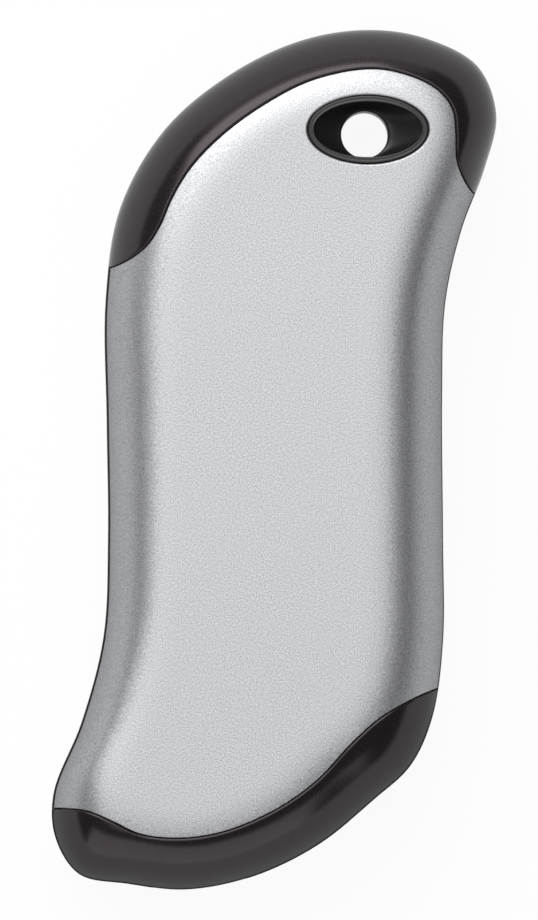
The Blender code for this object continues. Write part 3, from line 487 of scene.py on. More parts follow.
def patch(inset, low, loops):
    """The skin above a height, as triangles whose edges follow some XY loops.

    Returns the sheet, and for each point of the lowest ring its place in it.
    """
    places, edges, known = [], [], []
    for angle in ring_angles(inset, low, SKIN_BANDS):
        ring, normals = skin_row(inset, angle)
        known += zip(ring, normals)
        add_loop(places, edges, ring)
    for loop in loops:
        add_loop(places, edges, loop)
    made = delaunay_2d_cdt(places + face_grid(), edges, [], 0, MERGE_REACH)
    sheet = Sheet()
    first = {}
    skin = SKINS[inset]
    for index, (place, origins) in enumerate(zip(made[0], made[3])):
        rings = [origin for origin in origins if origin < len(known)]
        if rings:
            sheet.add(*known[rings[0]])
            first.update((origin, index) for origin in rings if origin < COUNT)
        else:
            sheet.add(*skin.place(place.x / MILLIMETRES, place.y / MILLIMETRES))
    rim = [point for point, _ in known[:COUNT]]
    for face in made[2]:
        a, b, c = (made[0][index] / MILLIMETRES for index in face)
        centre = (a + b + c) / 3
        if inside(rim, centre):
            turned = (b - a).cross(c - a) < 0
            sheet.faces.append(tuple(reversed(face)) if turned else tuple(face))
    soften(sheet, skin)
    return sheet, first


def soften(sheet, skin):
    """Averages the normals over a small disc, as a pressed edge turns gently."""
    for index, (point, normal) in enumerate(zip(sheet.points, sheet.normals)):
        reach = SOFT_REACH * min(1, max(0, (normal.z - SOFT_FROM) / SOFT_SPAN))
        if reach > 0:
            total = normal.copy()
            for turn in full_turn(8):
                for share in (0.5, 1):
                    total += skin.place(point.x + reach * share * cos(turn),
                                        point.y + reach * share * sin(turn))[1]
            sheet.normals[index] = total.normalized()


def add_loop(places, edges, loop):
    """Adds a closed loop to a triangulation's points and edges, in millimetres."""
    start = len(places)
    places += [point.xy * MILLIMETRES for point in loop]
    edges += [(start + index, start + (index + 1) % len(loop)) for index in range(len(loop))]


def borders(faces):
    """The directed edges that only one of some faces has."""
    edges = {(face[i - 1], face[i]) for face in faces for i in range(3)}
    return [edge for edge in edges if edge[::-1] not in edges]


def roll_edge(sheet, edges, radius, depths):
    """Rolls a border over with a radius, then runs a wall down to some depths.

    The last depth ends straight under the border, so that what follows can join it.
    """
    outs = {}
    for a, b in edges:
        way = sheet.points[b] - sheet.points[a]
        for index in (a, b):
            out = way.normalized().cross(sheet.normals[index]).normalized()
            outs.setdefault(index, []).append(out)
    rows = {}
    for index, found in outs.items():
        point, normal = sheet.points[index], sheet.normals[index]
        out = sum(found, Vector())
        out = (out - out.dot(normal) * normal).normalized()
        reach = radius / max(0.5, min(out.dot(one) for one in found))
        row = [index]
        for turn in quarter_turn(ROLL_STEPS)[1:]:
            place = point + out * reach * sin(turn) - normal * radius * (1 - cos(turn))
            row.append(sheet.add(place, normal * cos(turn) + out * sin(turn)))
        for depth in depths[:-1]:
            row.append(sheet.add(point + out * reach - normal * depth, out))
        row.append(sheet.add(point - normal * depths[-1], out))
        rows[index] = row
    for a, b in edges:
        for step in range(len(rows[a]) - 1):
            sheet.quad(rows[b][step], rows[a][step], rows[a][step + 1], rows[b][step + 1])
    return {index: row[-1] for index, row in rows.items()}


def sink(sheet, faces, depth, ends, flip):
    """Adds a copy of faces at a depth under them, joined to the walls' ends."""
    ends = dict(ends)
    for face in faces:
        for index in face:
            if index not in ends:
                point = sheet.points[index] - sheet.normals[index] * depth
                normal = -sheet.normals[index] if flip else sheet.normals[index]
                ends[index] = sheet.add(point, normal)
        sunk = tuple(ends[index] for index in face)
        sheet.faces.append(sunk[::-1] if flip else sunk)


def oval(half_width, half_height, shift, sides=OVAL_SIDES):
    """An ellipse outline, clockwise."""
    return [Vector((shift[0] + half_width * cos(-turn),
                    shift[1] + half_height * sin(-turn))) for turn in full_turn(sides)]


EYELET_PLACE = body_place(EYELET_SHARE) * (1 - NEARER) - Vector((0, EYELET_LOWER))
BORE_HALF_WIDTH = EYELET_LENGTH / 2 - EYELET_RIM
BORE_HALF_HEIGHT = EYELET_HEIGHT / 2 - EYELET_RIM


def eyelet_oval(grow, turn=0):
    """The eyelet's inner oval at 0, run to the round bore at 1, and grown."""
    tall = BORE_HALF_HEIGHT + EYELET_TALLER
    wide = BORE_HALF_WIDTH + (BORE_RADIUS - BORE_HALF_WIDTH) * turn + grow
    high = tall + (BORE_RADIUS - tall) * turn + grow
    shift = (EYELET_PLACE.x - BORE_OFFSET * turn,
             EYELET_PLACE.y - (tall + BORE_LOWER - BORE_RADIUS) * turn)
    return oval(wide, high, shift)


SKINS = {inset: Skin(inset) for inset in (0, SHELL_STEP)}
# The trim line, drawn in a little where it is high on the face.
TRIM = [point * (1 - NEARER * (SKINS[0].place(*point)[0].z - MID) / HALF_THICKNESS)
        for point in spline(TRIM_SHARES)]


def faces_where(sheet, test):
    """The faces whose middle passes a test, and the others."""
    groups = ([], [])
    for face in sheet.faces:
        centre = sum((sheet.points[index] for index in face), Vector()) / 3
        groups[not test(centre)].append(face)
    return groups


def shell_sheet():
    """A metal shell: its skin inside the trim, with rolled edges, and its underside."""
    trim = offset(TRIM, TRIM_LINE / 2 + SHELL_ROLL)
    hole = eyelet_oval(RIM_SEEN + HOLE_LINE + HOLE_ROLL)
    sheet, _ = patch(SHELL_STEP, BAND_HALF + FIT_GAP + SHELL_ROLL, (trim, hole))
    kept, _ = faces_where(
        sheet, lambda place: inside(trim, place) and not inside(hole, place))
    sheet.faces = list(kept)
    near = eyelet_oval(2 * EYELET_RIM)
    ends = {}
    for radius, at_hole in ((SHELL_ROLL, False), (HOLE_ROLL, True)):
        edges = [edge for edge in borders(kept)
                 if inside(near, sheet.points[edge[0]]) == at_hole]
        ends.update(roll_edge(sheet, edges, radius, (0.8 * SHELL_WALL, SHELL_WALL)))
    sink(sheet, kept, SHELL_WALL, ends, True)
    return sheet.pruned()


def band_rows(sheet, band):
    """Adds the rows of the band round the waist, down to the seam's eased edge."""
    rows = []
    ease = FRAME_ROLL / 2
    lip = SEAM_GAP / 2 + ease
    for step in range(1, BAND_STEPS + 1):
        angle = asin((band + (lip - band) * step / BAND_STEPS) / crest(0))
        rows.append([sheet.add(*both) for both in zip(*skin_row(0, angle))])
    last = rows[-1]
    down = Vector((0, 0, -1))
    for turn in quarter_turn(ROLL_STEPS)[1:]:
        row = []
        for index in last:
            normal = sheet.normals[index]
            flat = Vector((normal.x, normal.y, 0)).normalized()
            place = (sheet.points[index] + down * ease * sin(turn)
                     - flat * ease * (1 - cos(turn)))
            row.append(sheet.add(place, flat * cos(turn) + down * sin(turn)))
        rows.append(row)
    return rows


def add_hollow(sheet):
    """Adds the wall of the inside, and returns its lowest row."""
    hollow = Skin(WALL_STACK, SEAM_GAP / 2, HOLLOW_BANDS)
    start = len(sheet.points)
    for point, normal in zip(hollow.points, hollow.normals):
        sheet.add(point, -normal)
    sheet.faces += [tuple(start + index for index in reversed(face)) for face in hollow.faces]
    return [start + index for index in range(COUNT)]


def join_skirt(sheet, skirt, ring, row):
    """Joins the skin's lowest border, which may have points between the ring's, to a row."""
    before = {b: a for a, b in skirt}
    for index in range(COUNT):
        after = (index + 1) % COUNT
        here = ring[index]
        while here != ring[after]:
            sheet.faces.append((here, before[here], row[index]))
            here = before[here]
        sheet.faces.append((here, row[after], row[index]))


def frame_sheet():
    """One moulded half: bumper skin, seam, recess under the metal, and the hollow."""
    band = BAND_HALF - FRAME_ROLL
    trim = offset(TRIM, -TRIM_LINE / 2 - FRAME_ROLL)
    sheet, first = patch(0, band, (trim,))
    recess, kept = faces_where(sheet, lambda place: inside(trim, place))
    sheet.faces = list(kept)
    rows = band_rows(sheet, band)
    rows.append(add_hollow(sheet))
    flat = [index for row in rows for index in row]
    for quad in strip_faces(len(rows), COUNT):
        sheet.quad(*(flat[index] for index in quad))
    skirt = borders(kept + recess)
    join_skirt(sheet, skirt, [first[index] for index in range(COUNT)], rows[0])
    skirt = set(skirt)
    edges = [edge for edge in borders(kept) if edge not in skirt]
    edges += [edge[::-1] for edge in borders(recess) if edge in skirt]
    ends = roll_edge(sheet, edges, FRAME_ROLL, (0.6 * RECESS, RECESS))
    sink(sheet, recess, RECESS, ends, False)
    return sheet.pruned()


# Solids, outlines and axes

def finished(made, finish=None, degrees=35):
    """An object with its material, smooth but for edges sharper than an angle."""
    if finish:
        made.data.materials.append(finish)
    made.data.shade_smooth()
    made.data.set_sharp_from_angle(angle=radians(degrees))
    return made


def loft(name, rings, finish=None, closed=False, degrees=35):
    """A solid through rings of equally many points, capped unless its path is closed."""
    size = len(rings[0])
    faces = strip_faces(len(rings), size, closed)
    if not closed:
        last = (len(rings) - 1) * size
        faces += [tuple(range(size)), tuple(range(last, last + size))]
    mesh = bpy.data.meshes.new(name)
    mesh.from_pydata([point for ring in rings for point in ring], [], faces)
    shape = bmesh.new()
    shape.from_mesh(mesh)
    bmesh.ops.recalc_face_normals(shape, faces=shape.faces)
    shape.to_mesh(mesh)
    shape.free()
    return finished(placed(name, mesh), finish, degrees)


def gather(solids):
    """Separate solids made into one object."""
    shape = bmesh.new()
    for solid in solids:
        shape.from_mesh(solid.data)
        bpy.data.objects.remove(solid)
    mesh = bpy.data.meshes.new("tool")
    shape.to_mesh(mesh)
    shape.free()
    return placed("tool", mesh)


def joined(name, solids, finish, degrees=35):
    """Separate solids made into one finished object."""
    made = gather(solids)
    made.name = name
    return finished(made, finish, degrees)


FLAT_AXES = Matrix.Translation((0, 0, MID))


def lifted(axes, outline, height):
    """An outline at a height on some axes."""
    return [axes @ Vector((x, y, height)) for x, y in outline]


def stepped(name, outlines, heights, axes=FLAT_AXES, finish=None):
    """A solid of several outlines of equally many points, each at its height."""
    rings = [lifted(axes, outline, height) for outline, height in zip(outlines, heights)]
    return loft(name, rings, finish)


def disc(radius, place):
    """A circle outline."""
    return [(place[0] + radius * cos(turn), place[1] + radius * sin(turn))
            for turn in full_turn(DISC_SIDES)]


def rounded(width, height, radius, steps=6, shift=(0, 0)):
    """A rectangle outline with round corners."""
    points = []
    for quarter, (x, y) in enumerate(((1, 1), (-1, 1), (-1, -1), (1, -1))):
        for step in range(steps + 1):
            turn = pi / 2 * (quarter + step / steps)
            points.append((shift[0] + x * (width / 2 - radius) + radius * cos(turn),
                           shift[1] + y * (height / 2 - radius) + radius * sin(turn)))
    return points


def button_outline(grow):
    """A rectangle outline with half-round ends, grown all round."""
    radius = BUTTON_HEIGHT / 2 + grow
    points = []
    for hand in (1, -1):
        for step in range(END_STEPS + 1):
            turn = pi * (step / END_STEPS - 1 / 2)
            points.append((hand * ((BUTTON_LENGTH - BUTTON_HEIGHT) / 2 + radius * cos(turn)),
                           hand * radius * sin(turn)))
    return points


def lens_outline(grow):
    """The lens's outline, grown all round."""
    return rounded(LENS_LENGTH + 2 * grow, LENS_HEIGHT + 2 * grow,
                   max(LENS_CORNER + grow, 0.00005))


def lens_foot(grow=0):
    """The outline of the lens's wider foot, grown all round."""
    return rounded(LENS_LENGTH + 2 * (LENS_LIP + grow), 2 * (LENS_FOOT_HALF + grow),
                   LENS_CORNER + grow)


def cut_out(target, tool):
    """Cuts a solid out of another, and uses it up."""
    step = target.modifiers.new("shape", "BOOLEAN")
    step.operation = "DIFFERENCE"
    step.solver = "EXACT"
    step.object = tool
    bpy.context.view_layer.update()
    graph = bpy.context.evaluated_depsgraph_get()
    mesh = bpy.data.meshes.new_from_object(target.evaluated_get(graph))
    target.modifiers.clear()
    target.data = mesh
    bpy.data.objects.remove(tool)


def micro_outline(grow=0):
    """The charging socket's outline, narrowed at its lower corners, and grown."""
    half = MICRO_WIDTH / 2 + grow
    tall = MICRO_HEIGHT / 2 + grow
    low, narrow = -0.1 * tall, 0.72 * half
    corners = ((half, tall), (-half, tall), (-half, low), (-narrow, -tall), (narrow, -tall),
               (half, low))
    return eased([(x, y + MICRO_Z) for x, y in corners], 0.0004)


def eased(corners, radius, steps=4):
    """A closed outline with its corners eased."""
    points = []
    for index, corner in enumerate(corners):
        here = Vector(corner)
        before = (Vector(corners[index - 1]) - here).normalized() * radius
        after = (Vector(corners[(index + 1) % len(corners)]) - here).normalized() * radius
        for step in range(steps + 1):
            share = step / steps
            place = here + before * (1 - share) ** 2 + after * share ** 2
            points.append((place.x, place.y))
    return points


def axes_at(x, y, across, out):
    """Upright axes at a place on the mid-plane, from two unit vectors."""
    rows = Matrix((across, (0, 0, 1), out)).transposed().to_4x4()
    return Matrix.Translation((x, y, MID)) @ rows


def station_axes(knot_share):
    """Axes on the bumper: along the outline, up, and out of the body."""
    knots = [body_place(share) for share in OUTLINE_SHARES]
    place = knot_share * len(knots)
    index, along = int(place), place - int(place)
    here = spline_point(knots, index, along)
    ahead = (spline_point(knots, index, along + 0.05) - here).normalized()
    return axes_at(*here, (-ahead.x, -ahead.y, 0), (-ahead.y, ahead.x, 0))


BUTTON_AXES = station_axes(BUTTON_KNOT)
LENS_AXES = station_axes(LENS_KNOT)
USB_AXES = axes_at(USB_X, -BODY_LENGTH / 2 + PORT_RECESS, (-1, 0, 0), (0, -1, 0))
MICRO_AXES = axes_at(MICRO_X, -BODY_LENGTH / 2 + MICRO_RECESS, (-1, 0, 0), (0, -1, 0))


# Materials

def feed(tree, socket, value):
    """Links a socket to another node's output, or sets its own value."""
    if isinstance(value, bpy.types.NodeSocket):
        tree.links.new(value, socket)
    else:
        socket.default_value = value


def calculate(tree, operation, first, second):
    """The result of a Math node on two numbers or outputs."""
    made = tree.nodes.new("ShaderNodeMath")
    made.operation = operation
    feed(tree, made.inputs[0], first)
    feed(tree, made.inputs[1], second)
    return made.outputs[0]


def ramp(tree, value, start, end, low, high):
    """A value that goes from low to high as another goes from start to end."""
    made = tree.nodes.new("ShaderNodeMapRange")
    names = ("Value", "From Min", "From Max", "To Min", "To Max")
    for name, source in zip(names, (value, start, end, low, high)):
        feed(tree, made.inputs[name], source)
    return made.outputs["Result"]


def coordinate(tree, kind, axis):
    """One axis of a kind of texture coordinates."""
    place = tree.nodes.new("ShaderNodeTexCoord")
    split = tree.nodes.new("ShaderNodeSeparateXYZ")
    tree.links.new(place.outputs[kind], split.inputs[0])
    return split.outputs[axis]


def look(name, colour, roughness, metallic=0, grain=None, colour_share=0, rough_share=0,
         bump=0, **others):
    """A Principled material whose noise varies its colour, roughness and surface."""
    made = bpy.data.materials.new(name)
    made.use_nodes = True
    tree = made.node_tree
    sockets = tree.nodes["Principled BSDF"].inputs
    others.update(Base_Color=(*colour, 1), Roughness=roughness, Metallic=metallic)
    for socket, value in others.items():
        sockets[socket.replace("_", " ")].default_value = value
    if grain is None:
        return made
    link = tree.links.new
    noise = tree.nodes.new("ShaderNodeTexNoise")
    noise.inputs["Scale"].default_value = grain
    link(tree.nodes.new("ShaderNodeTexCoord").outputs["Object"], noise.inputs["Vector"])
    fleck = noise.outputs["Fac"]
    if colour_share:
        tint = tree.nodes.new("ShaderNodeVectorMath")
        tint.operation = "SCALE"
        tint.inputs[0].default_value = colour
        link(ramp(tree, fleck, *FLECKS, 1 - colour_share, 1 + colour_share),
             tint.inputs["Scale"])
        link(tint.outputs["Vector"], sockets["Base Color"])
    if rough_share:
        link(ramp(tree, fleck, *FLECKS, roughness * (1 - rough_share),
                  roughness * (1 + rough_share)), sockets["Roughness"])
    if bump:
        bumps = tree.nodes.new("ShaderNodeBump")
        bumps.inputs["Distance"].default_value = bump
        link(fleck, bumps.inputs["Height"])
        link(bumps.outputs["Normal"], sockets["Normal"])
    return made


def dim_edges(made, start=0.3, end=0.95):
    """Lets fine-textured black plastic reflect less at a low angle, and less still towards its
    lower end, which is painted shade for the shaded floor it would mirror there.
    """
    tree = made.node_tree
    # Painted shade: the gloss falls towards the lower end in Y, standing in for the shaded floor
    # that end would reflect.
    along = coordinate(tree, "Object", "Y")
    least = ramp(tree, along, *PAINTED_SHADE_END, 0, LEAST_GLOSS)
    last = ramp(tree, along, *PAINTED_SHADE_END, end - SHADE_FADES_EARLIER, end)
    weight = tree.nodes.new("ShaderNodeLayerWeight")
    fade = ramp(tree, weight.outputs["Facing"], start, last, 1, least)
    gloss = calculate(tree, "MULTIPLY", calculate(tree, "POWER", fade, 2), FULL_GLOSS)
    tree.links.new(gloss, tree.nodes["Principled BSDF"].inputs["Specular IOR Level"])
    return made


SILVER = look("silver_metal", (0.485, 0.49, 0.504), 0.52, 1, 5200, 0.34, 0.05, 4e-6,
              Specular_Tint=(0.2, 0.2, 0.21, 1))
BLACK = dim_edges(look("black_gloss", (0.0125, 0.0102, 0.0112), 0.2, 0, 4200, 0.3, 0.1,
                       8e-7, IOR=1.45, Specular_Tint=(1, 0.87, 0.94, 1)))
EYELET_BLACK = dim_edges(look("eyelet_black", (0.013, 0.012, 0.0125), 0.33, 0, 2500, 0.08,
                              0.1, 1e-6), 0.1, 0.7)
BUTTON_BLACK = look("black_satin", (0.02, 0.018, 0.019), 0.42, 0, 6000, 0.15, 0.1, 6e-6)
NICKEL = look("nickel_plate", (0.62, 0.6, 0.56), 0.24, 1, 700, 0.05, 0.2)
GOLD = look("gold_contacts", (0.78, 0.56, 0.23), 0.22, 1, 900, 0.05, 0.2)
TONGUE = look("white_nylon", (0.72, 0.72, 0.69), 0.45, 0, 500, 0.03, 0.1)
DARK_TONGUE = look("dark_nylon", (0.018, 0.018, 0.019), 0.45, 0, 500, 0.05, 0.1)
CLEAR = look("clear_lens", (0.85, 0.87, 0.88), 0.18, 0, 800, 0, 0.3,
             Transmission_Weight=0.85, IOR=1.58)

# For the nodes inside: which, then as in look().
INNER_LOOKS = (
    (("front_heater", "rear_heater"),
     "heater_film", (0.42, 0.17, 0.035), 0.35, 0, 300, 0.08, 0.15),
    (("front_pad", "rear_pad"), "foam", (0.06, 0.06, 0.065), 0.95, 0, 1500, 0.25, 0, 0.0001),
    (("cell_left", "cell_right"), "cell_wrap", (0.04, 0.16, 0.32), 0.35, 0, 200, 0.05, 0.2),
    (("battery_cradle",),
     "white_moulding", (0.75, 0.75, 0.72), 0.5, 0, 600, 0.03, 0.1, 3e-6),
    (("positive_tab", "negative_tab", "output_capacitor"),
     "nickel_strip", (0.6, 0.58, 0.54), 0.35, 1, 500, 0.06, 0.2),
    (("circuit_board",), "solder_mask", (0.012, 0.12, 0.045), 0.35, 0, 250, 0.12, 0.1),
    (("charger_chip", "controller_chip", "tact_switch", "thermistor"),
     "chip_epoxy", (0.015, 0.015, 0.016), 0.55, 0, 2500, 0.2, 0.1, 3e-6),
    (("boost_inductor",), "ferrite", (0.05, 0.05, 0.052), 0.7, 0, 1500, 0.2, 0.1, 5e-6),
    (("positive_lead", "switch_stem"),
     "red_sleeve", (0.5, 0.02, 0.015), 0.4, 0, 700, 0.08, 0.1),
    (("negative_lead", "thermistor_lead"),
     "black_sleeve", (0.02, 0.02, 0.02), 0.45, 0, 700, 0.1, 0.1),
    (("front_heater_lead_1", "front_heater_lead_2", "rear_heater_lead_1", "rear_heater_lead_2"),
     "white_sleeve", (0.7, 0.7, 0.68), 0.4, 0, 700, 0.04, 0.1),
    (("status_led_1", "status_led_2", "status_led_3", "status_led_4"),
     "led_epoxy", (0.82, 0.84, 0.78), 0.3, 0, 900, 0.04, 0.1),
    (("case_screw_1", "case_screw_2", "case_screw_3", "case_screw_4"),
     "zinc_plate", (0.5, 0.5, 0.52), 0.32, 1, 800, 0.08, 0.2),
)
for nodes, *values in INNER_LOOKS:
    finish = look(*values)
    for node in nodes:
        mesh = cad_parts[node].data
        mesh.materials.clear()
        mesh.materials.append(finish)


# Pieces

def seat(piece, node, body="body"):
    """Lets a piece ride on a body in place of a CAD node."""
    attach(piece, body)
    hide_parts(node)


def straight(outline, levels, axes=FLAT_AXES):
    """A straight solid between two levels."""
    return stepped("straight", (outline, outline), levels, axes)


def pocket_cut(opening, foot, depth, axes):
    """A cutter for an opening in the wall, and for a wider pocket behind the wall."""
    levels = (OVERRUN, -WALL_STACK, -WALL_STACK, -WALL_STACK - depth)
    return stepped("cut", (opening, opening, foot, foot), levels, axes)


def frame_cuts(side):
    """The openings for the button, the lens, the sockets, the eyelet, heat and screws."""
    gap = FIT_GAP
    opening = rounded(USB_WIDTH + 2 * gap, USB_HEIGHT + 2 * gap, 0.0007)
    cuts = [pocket_cut(button_outline(gap), button_outline(BUTTON_LIP + gap), BUTTON_POCKET,
                       BUTTON_AXES),
            pocket_cut(lens_outline(gap), lens_foot(gap), LENS_POCKET, LENS_AXES),
            straight(opening, (-USB_LENGTH - gap, PORT_RECESS + OVERRUN), USB_AXES)]
    if side < 0:
        low = SEAT - gap
        opening = rounded(MICRO_WIDTH + 2 * gap, -low + gap, 0.0006,
                          shift=(0, (low + gap) / 2))
        cuts.append(straight(opening, (-MICRO_LENGTH - gap, MICRO_RECESS + OVERRUN),
                             MICRO_AXES))
    spot = (EYELET_PLACE.x - BORE_OFFSET / 2, EYELET_PLACE.y + BORE_RADIUS - BORE_HALF_HEIGHT)
    hole = oval(BORE_HALF_WIDTH + gap, BORE_RADIUS + EYELET_WALL + gap, spot, THROAT_SIDES)
    levels = (MID + side * THROAT_LOW, MID + side * (HALF_THICKNESS + OVERRUN))
    cuts.append(loft("cut", [[Vector((p.x, p.y, z)) for p in hole] for z in levels]))
    window = rounded(HEATER_WIDTH + 2 * gap, HEATER_LENGTH + 2 * gap, HEATER_CORNER,
                     shift=(CELL_X, CELL_Y))
    levels = sorted((side * CELL_RADIUS, side * (DECK_TOP + OVERRUN)))
    cuts.append(straight(window, levels))
    if side < 0:
        cuts += [straight(disc(SCREW_HEAD, place), (-DECK_TOP - OVERRUN, -SCREW_SEAT))
                 for place in BOSS_PLACES]
    return cuts


def make_posts(prefix, side):
    """The hollow screw posts under one half's deck, and the ribs beside the cradle."""
    top = DECK_TOP - FIT_GAP
    seam = SEAM_GAP / 2
    solids = []
    for index, place in enumerate(BOSS_PLACES):
        profile = [(SCREW_BORE, top), (BOSS_RADIUS, top), (BOSS_RADIUS, seam)]
        if side < 0:
            profile[:1] = [(SCREW_BORE, SCREW_SEAT), (SCREW_HEAD, SCREW_SEAT), (SCREW_HEAD, top)]
        if side < 0 and index < BOARD_POSTS:
            profile[-1:] = [(BOSS_RADIUS, BOARD_SEAT), (BOSS_NECK, BOARD_SEAT),
                            (BOSS_NECK, seam)]
        profile.append((SCREW_BORE, seam))
        rings = [lifted(FLAT_AXES, disc(radius, place), side * height)
                 for radius, height in profile]
        solids.append(loft("post", rings, closed=True))
    levels = sorted((side * seam, side * RIB_HEIGHT))
    for row in (-1, 0, 1):
        for hand in (-1, 1):
            outline = rounded(RIB_OUTER - RIB_INNER, RIB_THICKNESS, 0.0002, 2,
                              (CELL_X + hand * (RIB_INNER + RIB_OUTER) / 2,
                               CELL_Y + row * RIB_PITCH))
            solids.append(straight(outline, levels))
    seat(joined(f"{prefix}_posts", solids, BLACK), f"{prefix}_frame")


def make_eyelet(prefix, side):
    """The flange with its rounded rim, the bowl and the throat of one side."""
    top = HALF_THICKNESS - EYELET_DROP
    under = HALF_THICKNESS - 0.0008
    inner_edge, outer_edge, bore_edge = 0.0002, 0.0003, 0.0004
    first_turn, start, steps = 0.4, 0.0006, 16
    rings = []

    def add(height, grow, turn=0):
        rings.append([Vector((p.x, p.y, MID + side * height))
                      for p in eyelet_oval(grow, turn)])

    def bowl(turn):
        return start + BOWL_DEPTH * (1 - (1 - turn) ** 1.25)

    add(top - inner_edge, 0)
    add(top - start, 0)
    for step in range(1, steps + 1):
        turn = step / steps
        add(top - bowl(turn), bore_edge * (1 - sin(first_turn)) * turn, turn)
    floor_height = top - bowl(1)
    for step in range(1, 7):
        turn = first_turn + (pi / 2 - first_turn) * step / 6
        add(floor_height - bore_edge * (cos(first_turn) - cos(turn)),
            bore_edge * (1 - sin(turn)), 1)
    add(SEAM_GAP / 2, 0, 1)
    add(SEAM_GAP / 2, EYELET_WALL, 1)
    add(floor_height - 0.0012, EYELET_WALL, 1)
    add(top - bowl(0.5) - 0.001, EYELET_WALL, 0.5)
    add(under, 0.0001)
    add(under, RIM_SEEN)
    for turn in quarter_turn(6):
        add(top - outer_edge * (1 - sin(turn)), RIM_SEEN - outer_edge * (1 - cos(turn)))
    land = RIM_SEEN - outer_edge - inner_edge
    for share in (0.3, 0.6, 0.85):
        add(top - 0.00008 * sin(pi * share) ** 2, RIM_SEEN - outer_edge - land * share)
    for turn in quarter_turn(6)[:-1]:
        add(top - inner_edge * (1 - cos(turn)), inner_edge * (1 - sin(turn)))
    made = loft(f"{prefix}_eyelet_ring", rings, EYELET_BLACK, closed=True, degrees=40)
    seat(made, f"{prefix}_eyelet")


# Button, lens and sockets

def capped(name, outline_at, foot, edge, reach, axes, inset, finish, dish=0):
    """A cap whose top follows the skin with an eased edge, on a wider foot."""
    out = axes.to_3x3() @ Vector((0, 0, 1))
    above = 0.01
    front = WALL_STACK + FIT_GAP
    rings = [lifted(axes, foot, -front - LIP_THICKNESS), lifted(axes, foot, -front),
             lifted(axes, outline_at(0), -front)]

    def height(x, y):
        start = axes @ Vector((x, abs(y), above))
        hit = SKINS[0].tree.ray_cast(start, -out)[0]
        return above - (hit - start).length - inset

    def add(grow, drop):
        rings.append([axes @ Vector((x, y, height(x, y) - drop)) for x, y in outline_at(grow)])

    for turn in quarter_turn(6):
        add(-edge * (1 - cos(turn)), edge * (1 - sin(turn)))
    for share in (0.2, 0.4, 0.6, 0.8, 1):
        add(-edge - (reach - edge) * share, dish * sin(pi / 2 * share) ** 2)
    return loft(name, rings, finish, degrees=40)


def strip(axes, x, width, thick, path):
    """A flat metal strip along a path of heights and depths on some axes."""
    profile = ((-1, 0), (1, 0), (1, thick), (-1, thick))
    return loft("strip", [[axes @ Vector((x + hand * width / 2, y + lift, z))
                           for hand, lift in profile] for y, z in path])


def finger(x, side):
    """A sprung strip inside the large socket's wall that bows towards the plug."""
    start, length, bow, steps = 0.0026, 0.0062, 0.0005, 12
    inner = USB_HEIGHT / 2 - USB_WALL
    path = [(side * (inner - bow * sin(pi * step / steps) ** 2), -start - length * step / steps)
            for step in range(steps + 1)]
    return strip(USB_AXES, x, 0.0017, side * 0.00022, path)


def contact(axes, x, y, width, back, front, thickness):
    """A flat contact under the tongue with a bent, rounded nose."""
    path = [(y + lift * thickness, z) for z, lift in
            ((back, 0), (front - 3 * thickness, 0), (front - thickness, 0.3), (front, 1.2))]
    return strip(axes, x, width, -thickness, path)


def sleeve(name, outline_at, length, flare, axes, fingers, node):
    """A pressed metal socket with an eased, slightly flared mouth and sprung strips."""
    wall = USB_WALL
    profile = ((0, -length), (0, -2.6 * flare), (0.35 * flare, -1.2 * flare),
               (flare, -0.3 * wall), (flare - 0.15 * wall, 0), (flare - 0.85 * wall, 0),
               (flare - wall, -0.3 * wall), (0.35 * flare - wall, -1.2 * flare),
               (-wall, -2.6 * flare), (-wall, wall - length))
    rings = [lifted(axes, outline_at(grow), z) for grow, z in profile]
    solids = [loft("sleeve", rings, degrees=50), *fingers]
    seat(joined(name, solids, NICKEL, 50), node)


def make_usb():
    """The large socket: sleeve, white tongue and four contacts."""

    def outline(grow):
        return rounded(USB_WIDTH + 2 * grow, USB_HEIGHT + 2 * grow,
                       max(0.0006 + grow, 0.0002))

    fingers = [finger(x, side) for x in (-0.0029, 0.0029) for side in (-1, 1)]
    sleeve("usb_a_sleeve", outline, USB_LENGTH, 0.00022, USB_AXES, fingers, "usb_a_shell")
    grow = USB_WALL + FIT_GAP
    thickness = TONGUE_THICKNESS
    rise = (USB_HEIGHT - 2 * grow - thickness) / 2
    back = -USB_LENGTH + grow
    foot = back + USB_BLOCK
    front = -TONGUE_RECESS

    def tongue(inset):
        return rounded(USB_WIDTH - 4 * grow - 2 * inset, thickness - 2 * inset, 0.00025,
                       shift=(0, rise))

    block = rounded(USB_WIDTH - 2 * grow, USB_HEIGHT - 2 * grow, 0.0003)
    made = stepped("usb_a_insulator",
                   (block, block, tongue(0), tongue(0), tongue(0.0003), tongue(0.00045)),
                   (back, foot, foot, front - 0.0007, front - 0.0001, front), USB_AXES, TONGUE)
    seat(made, "usb_a_tongue")
    solids = [contact(USB_AXES, x, rise - thickness / 2, 0.001, foot, front - 0.0012, 0.00012)
              for x in (-0.0035, -0.001, 0.001, 0.0035)]
    seat(joined("usb_a_contacts", solids, GOLD), "usb_a_tongue")


